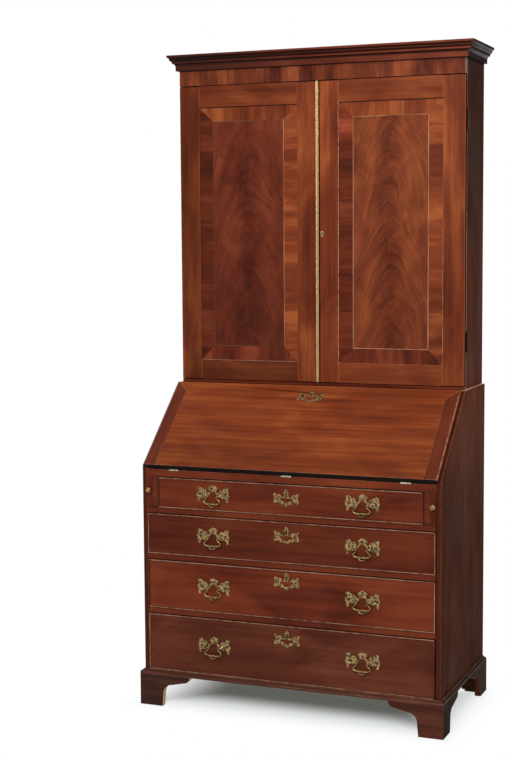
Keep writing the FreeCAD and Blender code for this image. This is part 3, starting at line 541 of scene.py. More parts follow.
@dataclass(frozen=True)
class Crossband(Mahogany):
    """Short lengths of veneer laid side by side, their grain across the band."""

    length: float = 92 * MM
    shares: tuple[float, float, float] = (0.17, 0.62, 0.24)

    def tone(self, recipe: Recipe) -> tuple[Socket, Socket]:
        """Works out a figure that changes from one short length to the next.

        Args:
            recipe: The material being made.

        Returns:
            The figure's level and the fine fibre's level.
        """
        run = recipe.axes(recipe.place)["X" if self.grain is Grain.UPRIGHT else "Z"]
        lengths = recipe.add("ShaderNodeTexVoronoi", {"W": recipe.math("ADD", run, self.seed),
                                                      "Scale": 1 / self.length}, voronoi_dimensions="1D")
        step = recipe.add("ShaderNodeSeparateColor", {0: lengths.outputs["Color"]}).outputs[0]
        clouds, fibre = (self.grained(recipe, pattern) for pattern in (BAND_CLOUDS, BAND_FIBRES))
        return recipe.total(*zip((step, clouds, fibre), self.shares)), fibre


@dataclass(frozen=True)
class CastBrass(Finish):
    """Old cast brass, rubbed bright where hands reach and dull in the hollows."""

    dull: Colour
    bright: Colour
    rough: float = 0.34
    relief: float = 0.0
    metal: float = 1.0

    def lay(self, recipe: Recipe) -> None:
        """Plugs the stained metal.

        Args:
            recipe: The material being made.
        """
        stain = recipe.noise(STAIN)
        colour = recipe.mix(recipe.range(stain, *STAIN_SPREAD), self.dull, self.bright)
        rough = recipe.range(stain, *NOISE_SPREAD, self.rough + DULL_ROUGH, self.rough)
        recipe.shade({"Base Color": colour, "Metallic": self.metal, "Roughness": rough})
        if self.relief:
            recipe.bump(stain, self.relief)


# Makers of finishes
waxed = Mahogany.picked
upright = partial(waxed, grain=Grain.UPRIGHT)
backwards = partial(waxed, grain=Grain.BACKWARDS, sheen=0.5, gloss=0.005)
cast = CastBrass.picked

# Woods of the front
FRONT_WOOD = waxed("front_mahogany", (70, 24, 12), (100, 40, 21), (122, 54, 29), cloud=0.54, seed=2.0)
FRONT_UPRIGHT = replace(FRONT_WOOD, name="front_upright_mahogany", grain=Grain.UPRIGHT)
FRONT_EDGE = FRONT_UPRIGHT.shaded("front_edge_mahogany", 0.50)
RAIL_EDGE = FRONT_WOOD.shaded("drawer_rail_mahogany", 0.86)
BROWN_FRONT = waxed("brown_front_mahogany", (74, 30, 17), (98, 45, 28), (118, 61, 41), cloud=0.56, seed=2.6)
# Cock bead noses painted pale as highlights, and their flanks painted dark as shade
BEAD_WOOD = waxed(
    "bead_mahogany", (58, 27, 21), (90, 56, 47), (136, 102, 92), cloud=0.66, sheen=0.26, seed=6.0, wear=0.42)
BEAD_FLANK = waxed("bead_flank_mahogany", (40, 17, 11), (64, 30, 21), (88, 46, 35), cloud=0.60, seed=7.0)
SHADED_WOOD = waxed("shaded_mahogany", (14, 9, 7), (20, 13, 10), (28, 18, 14), sheen=0.6, seed=8.0)
FALL_WOOD = waxed(
    "fall_mahogany", (90, 36, 17), (126, 56, 27), (158, 82, 38), cloud=0.44, seed=9.0,
    smoke=((0.83, 0.80), (0.94, 1.0)))
CLEAT_WOOD = waxed(
    "cleat_mahogany", (72, 28, 16), (104, 45, 26), (126, 61, 35), grain=Grain.UP_THE_SLOPE, cloud=0.42,
    seed=3.0)

# Woods of the sides and the mouldings
# Painted shade on the sides: shares by height, lightest at the bureau's top, darker below and darkest towards
# the cornice
SMOKE = ((0.20, 0.44), (0.62, 0.52), (1.02, 0.94), (1.06, 0.68), (1.50, 0.66), (1.80, 0.40), (2.10, 0.31))
SIDE_WOOD = upright(
    "side_mahogany", (82, 39, 25), (116, 60, 38), (140, 75, 48), cloud=0.40,
    worn_to=from_srgb((232, 146, 96)), sheen=0.5, gloss=0.005, seed=5.0, smoke=SMOKE)
CORNICE_WOOD = waxed(
    "cornice_mahogany", (64, 24, 14), (98, 42, 24), (132, 62, 36), cloud=0.46, seed=21.0, gloom=0.72)
# Painted shade on the cornice's downward-facing faces
CORNICE_HOLLOW = waxed(
    "cornice_hollow", (30, 13, 9), (46, 20, 13), (64, 29, 18), cloud=0.46, seed=22.0, gloom=0.5)
# Painted shade on the cornice's side-facing lengths
RETURN_WOOD = backwards(
    "return_mahogany", (58, 36, 28), (80, 52, 41), (100, 67, 53), cloud=0.44, seed=23.0, smoke=SMOKE)
BARE_TOP = waxed(
    "bare_top_mahogany", (58, 34, 24), (78, 48, 34), (98, 64, 46), cloud=0.40, sheen=0.7, gloss=0.0,
    seed=37.0)
BASE_WOOD = waxed("base_mahogany", (60, 29, 21), (86, 47, 36), (112, 68, 55), cloud=0.56, seed=27.0)
# Painted shade on the base's side lengths and the feet's outer sides
BASE_RETURN = backwards(
    "base_return_mahogany", (46, 33, 27), (64, 48, 39), (84, 65, 54), cloud=0.44, seed=26.0)
FOOT_SIDE = backwards("foot_side_mahogany", (34, 23, 17), (50, 36, 27), (66, 49, 38), seed=24.0)
DARK_FOOT = waxed("dark_foot_mahogany", (36, 20, 15), (58, 32, 25), (82, 48, 37), cloud=0.30, seed=28.0)
FOOT_WOOD = waxed("foot_mahogany", (54, 25, 17), (80, 40, 27), (104, 56, 38), cloud=0.36, seed=29.0)
# Bare end grain, made paler as a painted highlight on the faces that catch the light
END_GRAIN = upright("end_grain", (176, 118, 86), (224, 170, 132), (244, 204, 170), sheen=0.6, seed=25.0)

# Woods of the doors
# Painted shade on the doors' own side edges, in the gap by the carcase
HUNG_EDGE = upright(
    "door_edge_mahogany", (62, 26, 15), (84, 38, 23), (104, 52, 33), sheen=0.6, gloss=0.0, seed=12.0)
STILE_WOOD = upright("stile_mahogany", (82, 32, 16), (118, 52, 27), (158, 82, 42), cloud=0.56, seed=13.0)
RAIL_WOOD = waxed("rail_mahogany", (86, 34, 17), (120, 54, 28), (154, 80, 42), cloud=0.54, seed=17.0)
FRIEZE_BAND = Crossband.picked(
    "frieze_band", (66, 24, 13), (104, 46, 26), (142, 71, 40), grain=Grain.UPRIGHT, seed=1.3, length=62 * MM,
    gloom=0.22)
BAND_UPRIGHT = Crossband.picked("upright_band", (88, 35, 18), (120, 54, 28), (158, 83, 43), seed=3.4)
BAND_LEVEL = Crossband.picked(
    "level_band", (84, 33, 17), (120, 54, 28), (158, 84, 44), grain=Grain.UPRIGHT, seed=4.4)
RED_BAND_UPRIGHT = replace(
    BAND_UPRIGHT, name="red_upright_band", body=from_srgb((120, 49, 28)), glow=from_srgb((156, 73, 46)))
RED_BAND_LEVEL = replace(
    BAND_LEVEL, name="red_level_band", body=from_srgb((120, 50, 30)), glow=from_srgb((156, 74, 46)))
FLAME = FlameVeneer.picked(
    "flame", (76, 30, 16), (112, 51, 28), (144, 73, 39), grain=Grain.UPRIGHT, seed=11.0)
RED_FLAME = FlameVeneer.picked(
    "red_flame", (82, 31, 18), (118, 50, 31), (150, 70, 44), grain=Grain.UPRIGHT, seed=4.0,
    smoke=((1.15, 0.72), (1.40, 0.80), (1.62, 0.88), (1.84, 1.0)))
BOXWOOD = upright("boxwood_line", (118, 66, 42), (184, 138, 104), (216, 176, 140), cloud=0.6, seed=4.0)

# Woods of the inside and the back
LINING = waxed(
    "lining_oak", (112, 78, 48), (150, 112, 74), (178, 140, 98), cloud=0.40, sheen=0.55, seed=31.0)
LINING_DEEP = replace(LINING, name="lining_oak_sides", grain=Grain.BACKWARDS, seed=33.0)
BACK_PINE = upright(
    "back_pine", (92, 62, 40), (128, 92, 60), (152, 116, 80), cloud=0.26, sheen=0.6, seed=35.0)

# Metals
OLD_BRASS = cast("old_brass", (40, 33, 19), (176, 150, 104), relief=0.5 * MM)
# Rubbed brass that is also painted bright as a highlight, and brass painted dark as shade
RUBBED_BRASS = cast("rubbed_brass", (160, 128, 80), (240, 204, 148), rough=0.30, metal=0.5)
DARK_BRASS = cast("dark_brass", (40, 33, 20), (96, 82, 52))
BAIL_BRASS = cast("bail_brass", (74, 61, 36), (156, 132, 86), rough=0.30)
KEY_BRASS = cast("key_brass", (42, 31, 17), (168, 138, 94), relief=0.5 * MM)
# Dark brass: painted shade on the hinge leaves that sit in gaps
HINGE_BRASS = cast("hinge_brass", (40, 27, 18), (62, 45, 30))
# Pale brass: a painted highlight on the hinge knuckles
KNUCKLE_BRASS = cast("knuckle_brass", (124, 112, 92), (206, 194, 172), rough=0.30)
KNOB_BRASS = cast("knob_brass", (96, 72, 42), (160, 130, 84), rough=0.30)
STRIP_BRASS = cast("strip_brass", (154, 124, 82), (186, 156, 112), rough=0.44)
# A near-black sheet that paints the shade inside keyholes
KEYWAY_IRON = cast("keyway_iron", (16, 13, 10), (28, 22, 17), rough=0.6, metal=0.4)


class Bench:
    """Hand-tool steps that the new pieces share."""

    FLAT = 0.98
    WALL = 0.5
    LIT_FORWARDS = 0.1
    LIT_UPWARDS = 0.25
    TOUCH = 1e-6
    ROD_ANGLE = 60.0

    @staticmethod
    def done() -> None:
        """Leaves edit mode."""
        bpy.ops.object.mode_set(mode="OBJECT")

    @staticmethod
    def clear() -> None:
        """Leaves edit mode and selects nothing."""
        if bpy.context.object and bpy.context.object.mode != "OBJECT":
            Bench.done()
        bpy.ops.object.select_all(action="DESELECT")

    @staticmethod
    def take(*pieces: Piece) -> None:
        """Selects pieces and nothing else, with the first one active.

        Args:
            pieces: What is selected.
        """
        Bench.clear()
        for piece in pieces:
            piece.select_set(True)
        bpy.context.view_layer.objects.active = pieces[0]

    @staticmethod
    def named(name: str) -> Piece:
        """Names the piece just added, its place settled into its mesh.

        Args:
            name: The piece's name.

        Returns:
            The piece.
        """
        piece = bpy.context.object
        piece.name = piece.data.name = name
        bpy.ops.object.transform_apply(location=True, rotation=True, scale=True)
        return piece

    @staticmethod
    def edit(piece: Piece, mode: str = "EDGE") -> None:
        """Opens a piece in edit mode with all of it selected.

        Args:
            piece: The piece.
            mode: FACE or EDGE.
        """
        Bench.take(piece)
        bpy.ops.object.mode_set(mode="EDIT")
        bpy.ops.mesh.select_mode(type=mode)
        bpy.ops.mesh.select_all(action="SELECT")

    @staticmethod
    def pick(piece: Piece, wanted: Callable[[Vector, Vector], bool], mode: str = "FACE") -> None:
        """Selects the faces or edges of a piece in edit mode by their place.

        Args:
            piece: The piece, in edit mode.
            wanted: Says whether a middle and a normal (an edge's direction) are taken.
            mode: FACE or EDGE.
        """
        bpy.ops.mesh.select_mode(type=mode)
        bpy.ops.mesh.select_all(action="DESELECT")
        Bench.done()
        mesh = piece.data
        if mode == "FACE":
            for face in mesh.polygons:
                face.select = wanted(face.center, face.normal)
        else:
            for edge in mesh.edges:
                a, b = (mesh.vertices[index].co for index in edge.vertices)
                edge.select = wanted((a + b) / 2, (b - a).normalized())
        bpy.ops.object.mode_set(mode="EDIT")

    @staticmethod
    def outwards() -> None:
        """Turns all faces of the piece in edit mode outwards, and leaves edit mode."""
        bpy.ops.mesh.select_all(action="SELECT")
        bpy.ops.mesh.normals_make_consistent(inside=False)
        Bench.done()

    @staticmethod
    def board(name: str, low: Vector, high: Vector, ease: float, cuts: Sequence[Cut] = ()) -> Piece:
        """Planes a board to size, mitres it and eases its edges.

        Args:
            name: The piece's name.
            low: Its lowest corner.
            high: Its highest corner.
            ease: How far the edges are rounded.
            cuts: Saw cuts as a point and the direction of the waste.

        Returns:
            The board.
        """
        Bench.clear()
        bpy.ops.mesh.primitive_cube_add(size=1, location=(low + high) / 2, scale=high - low)
        piece = Bench.named(name)
        for point, waste in cuts:
            Bench.edit(piece)
            bpy.ops.mesh.bisect(plane_co=point, plane_no=waste, use_fill=True, clear_outer=True)
            Bench.done()
        Bench.edit(piece)
        bpy.ops.mesh.bevel(offset=ease, segments=2, affect="EDGES")
        Bench.done()
        return piece

    @staticmethod
    def joined(name: str, pieces: Sequence[Piece]) -> Piece:
        """Joins several pieces into one.

        Args:
            name: The new piece's name.
            pieces: What is joined.

        Returns:
            The joined piece.
        """
        Bench.take(*pieces)
        if len(pieces) > 1:
            bpy.ops.object.join()
        pieces[0].name = pieces[0].data.name = name
        return pieces[0]

    @staticmethod
    def smooth(piece: Piece, degrees: float = 35.0) -> None:
        """Shades a piece smoothly, except over its sharp edges."""
        Bench.take(piece)
        bpy.ops.object.shade_smooth_by_angle(angle=math.radians(degrees))

    @staticmethod
    def flowing(points: Sequence[Point], steps: int = 3) -> list[Point]:
        """A closed smooth line through points.

        Args:
            points: The points in order.
            steps: New points on each stretch.

        Returns:
            The line's points.
        """
        line = []
        count = len(points)
        for i in range(count):
            a, b, c, d = (Vector(points[(i + k) % count]) for k in (-1, 0, 1, 2))
            for step in range(steps):
                t = step / steps
                spot = b * 2 + (c - a) * t + (a * 2 - b * 5 + c * 4 - d) * t ** 2
                spot = (spot + (b * 3 - a - c * 3 + d) * t ** 3) / 2
                line.append((spot.x, spot.y))
        return line

    @staticmethod
    def cast_plate(name: str, outlines: Sequence[Sequence[Point]], thick: float, ease: float) -> Piece:
        """Casts a thin pierced plate that stands in XZ, its back at Y 0 and its face towards -Y.

        The flat faces take the first finish, the rounded rims that look up the second, rubbed and painted as
        a highlight, and the others the third, painted in shade.

        Args:
            name: The piece's name.
            outlines: The outer line and then the pierced holes, in metres.
            thick: Its thickness.
            ease: How far its edges are rounded.

        Returns:
            The plate.
        """
        rings = []
        for outline in outlines:
            Bench.clear()
            bpy.ops.mesh.primitive_circle_add(vertices=len(outline))
            ring = Bench.named(f"{name}_line")
            for vertex, (x, z) in zip(ring.data.vertices, outline):
                vertex.co = (x, 0, z)
            rings.append(ring)
        plate = Bench.joined(name, rings)
        Bench.edit(plate)
        bpy.ops.mesh.fill(use_beauty=True)
        bpy.ops.mesh.select_all(action="SELECT")
        bpy.ops.mesh.extrude_region_move(TRANSFORM_OT_translate={"value": (0, -thick, 0)})
        Bench.outwards()
        Bench.rim(plate, -thick, ease)
        Bench.smooth(plate)
        # Painted light: rims facing up and forwards take the highlight finish, the other rims the shaded one
        for face in plate.data.polygons:
            _, y, z = face.normal
            lit = z > Bench.LIT_UPWARDS and y < -Bench.LIT_FORWARDS
            face.material_index = 0 if abs(y) > Bench.FLAT else (1 if lit else 2)
        return plate

    @staticmethod
    def rim(plate: Piece, level: float, ease: float) -> None:
        """Rounds the edges where a plate's face meets its side walls.

        Args:
            plate: The plate.
            level: The Y of its face.
            ease: How far the edges are rounded.
        """
        mesh = plate.data
        walls = {key for face in mesh.polygons if abs(face.normal.y) < Bench.WALL for key in face.edge_keys}
        Bench.edit(plate)
        bpy.ops.mesh.select_all(action="DESELECT")
        Bench.done()
        for edge in mesh.edges:
            ends = [mesh.vertices[index].co.y for index in edge.vertices]
            edge.select = edge.key in walls and all(abs(y - level) < Bench.TOUCH for y in ends)
        bpy.ops.object.mode_set(mode="EDIT")
        bpy.ops.mesh.bevel(offset=ease, segments=3, affect="EDGES", clamp_overlap=True)
        Bench.done()

    @staticmethod
    def turned(name: str, profile: Sequence[Point], sides: int = 24) -> Piece:
        """Turns a piece about the Y axis by extruding and scaling its end, step by step.

        Args:
            name: The piece's name.
            profile: Radius and Y of each step, in metres.
            sides: How many sides it has.

        Returns:
            The turned piece.
        """
        Bench.clear()
        radius, level = profile[0]
        bpy.ops.mesh.primitive_circle_add(vertices=sides, radius=radius, fill_type="NGON",
                                          location=(0, level, 0), rotation=(math.pi / 2, 0, 0))
        piece = Bench.named(name)
        Bench.edit(piece, "FACE")
        for wider, next_level in profile[1:]:
            bpy.ops.mesh.extrude_region_move(TRANSFORM_OT_translate={"value": (0, next_level - level, 0)})
            size = wider / radius
            bpy.ops.transform.resize(value=(size, 1, size), center_override=(0, next_level, 0))
            radius, level = wider, next_level
        Bench.outwards()
        Bench.smooth(piece)
        return piece

    @staticmethod
    def drawn_rod(name: str, points: Sequence[Triple], level: float) -> Piece:
        """Draws a round rod of changing thickness through points in XZ.

        Args:
            name: The piece's name.
            points: X, Z and radius of each point, in metres.
            level: The Y of the rod's middle.

        Returns:
            The rod as a mesh.
        """
        Bench.clear()
        bpy.ops.curve.primitive_bezier_curve_add(location=(0, 0, 0))
        curve = bpy.context.object.data
        bpy.ops.object.mode_set(mode="EDIT")
        bpy.ops.curve.select_all(action="SELECT")
        bpy.ops.curve.subdivide(number_cuts=len(points) - 2)
        Bench.done()
        curve.dimensions = "3D"
        curve.resolution_u = 5
        curve.bevel_depth = 1.0
        curve.bevel_resolution = 4
        curve.use_fill_caps = True
        for knot, (x, z, radius) in zip(curve.splines[0].bezier_points, points):
            knot.co = (x, level, z)
            knot.radius = radius
            knot.handle_left_type = knot.handle_right_type = "AUTO"
        bpy.ops.object.convert(target="MESH")
        rod = Bench.named(name)
        Bench.smooth(rod, Bench.ROD_ANGLE)
        return rod

    @staticmethod
    def copy(model: Piece, name: str, place: Matrix) -> Piece:
        """Copies a model with a mesh of its own and puts it in place.

        Args:
            model: What is copied.
            name: The copy's name.
            place: Where the copy's mesh goes.

        Returns:
            The copy.
        """
        piece = model.copy()
        piece.data = model.data.copy()
        piece.name = piece.data.name = name
        piece.data.transform(place)
        bpy.context.scene.collection.objects.link(piece)
        return piece


def dress(node: str, finishes: Sequence[Finish], pick: Picker | None = None, edge: float = 0.9 * MM,
          wear: float = 0.75, seams: Boxes = (), joints: Boxes = (), full: bool = False) -> None:
    """Gives a CAD node its finishes and worn edges.

    Args:
        node: The node's name.
        finishes: Its finishes.
        pick: Chooses a finish for a face from its middle and normal; the first if left out.
        edge: How wide the worn edges are; 0 leaves them sharp.
        wear: How pale the wood's edges are rubbed, partly as a painted highlight.
        seams: Boxes in which the edges are painted dark as shade, in gaps and under overhangs.
        joints: Boxes in which the edges are only a little lighter than the wood.
        full: Keeps the edges' full width next to small hollows.
    """
    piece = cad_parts[node]
    mesh = piece.data
    mesh.materials.clear()
    for finish in finishes:
        mesh.materials.append(finish.material())
    for face in mesh.polygons:
        face.material_index = pick(face.center, face.normal) if pick else 0
    if edge:
        weld = piece.modifiers.new("weld", "WELD")
        weld.merge_threshold = 0.01 * MM
        bevel = piece.modifiers.new("worn_edges", "BEVEL")
        bevel.width = edge
        bevel.segments = 2
        bevel.limit_method = "ANGLE"
        bevel.angle_limit = math.radians(40)
        bevel.use_clamp_overlap = not full
        if isinstance(finishes[0], Mahogany):
            mesh.materials.append(finishes[0].worn(wear, node, seams, joints).material())
            bevel.material = len(mesh.materials) - 1
    LOG.info("dressed %s", node)


def settle(piece: Piece, body: str, slot: Slot, *finishes: Finish) -> None:
    """Finishes a new piece and lets it ride on its body.

    Args:
        piece: The piece, in place.
        body: The CAD body that carries it.
        slot: The record's slot that it belongs to; not used.
        finishes: Its finishes; none if it has them already.
    """
    if finishes:
        piece.data.materials.clear()
        for finish in finishes:
            piece.data.materials.append(finish.material())
        for face in piece.data.polygons:
            face.material_index = min(face.material_index, len(finishes) - 1)
    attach(piece, body)
    LOG.info("built %s on %s", piece.name, body)


@dataclass
class Carcase:
    """The boards of the bureau and the bookcase that don't move."""

    plank_tones: tuple[float, ...] = (1.0, 0.80, 1.10, 0.88)
    plank_ease: float = 1.6 * MM
    board_edge: float = 1.3 * MM
    # How pale the arrises are rubbed, partly as painted highlights
    board_wear: float = 0.30
    rounded_edge: float = 2.3 * MM
    rounded_wear: float = 1.8
    rail_edge: float = 1.2 * MM
    rail_depth: float = 60 * MM
    thin_edge: float = 0.4 * MM
    moulding_edge: float = 0.7 * MM
    foot_edge: float = 1.4 * MM
    skin: float = 1 * MM
    near: float = 2 * MM
    front_facing: float = 0.5
    hollow_facing: float = 0.25
    side_facing: float = 0.7
    # Paleness of the base moulding's rubbed lines, front and side, partly painted highlights
    line_wears: Point = (0.14, 0.55)
    fall_hinge_line: float = 900 * MM
    toe_line: float = 490 * MM
    door_line: float = 66 * MM
    # Height of the painted shadow strip on the frieze under the cornice
    wax_line: float = 2.4 * MM
    base_flat: float = 5.5 * MM
    base_line: float = 1.6 * MM

    def build(self) -> None:
        """Planes the back planks, their long edges eased to a narrow groove at each joint, painted dark as
        shade.
        """
        for node in ("bureau_backboards", "bookcase_backboards"):
            low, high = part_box(node)
            step = (high.x - low.x) / len(self.plank_tones)
            boards = []
            for i, tone in enumerate(self.plank_tones):
                left = low.x + i * step
                right = left + step
                board = Bench.board(f"{node}_plank", Vector((left, low.y, low.z)),
                                    Vector((right, high.y, high.z)), self.plank_ease)
                # Painted shade in the grooves between the planks
                grooves = tuple(space(x=(x - self.plank_ease, x + self.plank_ease)) for x in (left, right))
                pine = BACK_PINE.shaded(f"{node}_pine_{i}", tone)
                board.data.materials.append(replace(pine, seed=BACK_PINE.seed + i, seams=grooves).material())
                boards.append(board)
            back = Bench.joined(f"{node}_planks", boards)
            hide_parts(node)
            settle(back, "carcase", Slot.LINING)

    def dress(self) -> None:
        """Gives the fixed boards their finishes."""
        self.dress_sides("bureau", SIDE_WOOD, END_GRAIN, self.board_edge, self.board_wear)
        self.dress_sides("bookcase", replace(SIDE_WOOD, worn_to=RUBBED_SIDE), BARE_TOP, self.rounded_edge,
                         self.rounded_wear)
        for node in ("writing_bed", "bookcase_shelves"):
            dress(node, [FRONT_WOOD])
        dress("bookcase_top", [BARE_TOP], edge=0)
        dress("bureau_top", [FRONT_WOOD], seams=EVERYWHERE)
        dress("bookcase_bottom", [FRONT_WOOD, SHADED_WOOD], self.pick_bottom, seams=EVERYWHERE)
        dress("bureau_bottom", [LINING], edge=0)
        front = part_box("drawer_divisions")[0].y
        dress("drawer_divisions", [RAIL_EDGE, LINING, SHADED_WOOD], partial(self.pick_division, front),
              edge=self.rail_edge, seams=EVERYWHERE)
        dress("pigeonhole_case", [FRONT_WOOD], edge=self.thin_edge)
        # Painted shadow: a dark strip on the frieze's top under the cornice, and painted shade on its lower
        # arrises
        under = space(z=(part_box("cornice")[0].z - self.wax_line, FAR))
        foot = space(z=(-FAR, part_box("frieze_rail")[0].z + self.near))
        dress("frieze_rail", [replace(FRIEZE_BAND, seams=(under,))], edge=self.board_edge,
              seams=(under, foot))
        self.dress_mouldings()

    def dress_sides(self, unit: str, wood: Mahogany, top: Mahogany, edge: float, wear: float) -> None:
        """Finishes two sides, their arrises pale on the right-hand faces, rubbed and painted as highlight,
        and painted dark as shade elsewhere.

        Args:
            unit: The bureau or the bookcase.
            wood: The wood of their faces.
            top: The wood of their upper ends.
            edge: How wide their worn edges are.
            wear: How pale these are rubbed, partly as a painted highlight.
        """
        for side in ("left", "right"):
            node = f"{unit}_{side}_side"
            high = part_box(node)[1]
            dress(node, [wood, top, FRONT_EDGE], partial(self.pick_side, high.z), edge=edge, wear=wear,
                  seams=(space(x=(-FAR, high.x - self.near)),), full=True)

    def dress_mouldings(self) -> None:
        """Finishes the mouldings, feet and hinges with the grain along each length, painted shade on the side
        lengths and under the cornice, and painted highlights on the base's lines, the toes and the knuckles.
        """
        base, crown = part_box("base_moulding"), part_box("cornice")
        front_wear, side_wear = self.line_wears
        dress("base_moulding", [BASE_WOOD, BASE_RETURN, BASE_WOOD.worn(front_wear, "base_line"),
                                BASE_RETURN.worn(side_wear, "base_side_line")],
              partial(self.pick_base, *base), edge=self.moulding_edge, wear=0.4)
        dress("cornice", [CORNICE_WOOD, RETURN_WOOD, CORNICE_HOLLOW], partial(self.pick_cornice, *crown),
              edge=self.moulding_edge, wear=0.3)
        for node in ("front_feet", "rear_feet"):
            dress(node, [FOOT_WOOD, FOOT_SIDE, END_GRAIN, DARK_FOOT], self.pick_foot, edge=self.foot_edge,
                  wear=0.7)
        dress("hinge_fixed_leaves", [HINGE_BRASS, KNUCKLE_BRASS],
              lambda middle, normal: int(middle.z < self.fall_hinge_line), edge=0)

    def pick_side(self, top: float, middle: Vector, normal: Vector) -> int:
        """Tells a side's faces, its upper end and its front edge apart."""
        end = normal.z > FACING and middle.z > top - self.skin
        return 1 if end else (2 if normal.y < -self.front_facing else 0)

    def pick_bottom(self, middle: Vector, normal: Vector) -> int:
        """Picks the shaded strip of the bookcase's bottom under the doors."""
        return int(abs(normal.z) > FACING and middle.y < self.door_line)

    def pick_division(self, front: float, middle: Vector, normal: Vector) -> int:
        """Tells the rails' faces, the dustboards and the shaded gaps behind the drawer fronts apart."""
        face = normal.y < -FACING and middle.y < front + self.skin
        return 0 if face else (2 if middle.y < front + self.rail_depth else 1)

    def pick_base(self, low: Vector, high: Vector, middle: Vector, normal: Vector) -> int:
        """Tells the base's front and side lengths apart, the side ones painted in shade, and the rubbed lines
        on each, partly painted highlights.
        """
        rises = (middle.z - start for start in (low.z, low.z + self.base_flat, high.z - self.base_line))
        return self.on_return(middle, low, high) + 2 * any(0 < rise < self.base_line for rise in rises)

    def pick_cornice(self, low: Vector, high: Vector, middle: Vector, normal: Vector) -> int:
        """Tells the cornice's front, its side lengths and its downward faces apart, the last two painted in
        shade.
        """
        return 2 if normal.z < -self.hollow_facing else self.on_return(middle, low, high)

    def pick_foot(self, middle: Vector, normal: Vector) -> int:
        """Tells a foot's outer side, painted in shade, its bare toe, paler as a painted highlight, and its
        front apart; the left one is darker.
        """
        outside = 2 if abs(middle.x) < self.toe_line else 1
        return outside if abs(normal.x) > self.side_facing else (3 if middle.x < 0 else 0)

    @staticmethod
    def on_return(middle: Vector, low: Vector, high: Vector) -> int:
        """Says whether a moulding's face is on a side length, past the mitre."""
        return int(abs(middle.x) - high.x > low.y - middle.y)


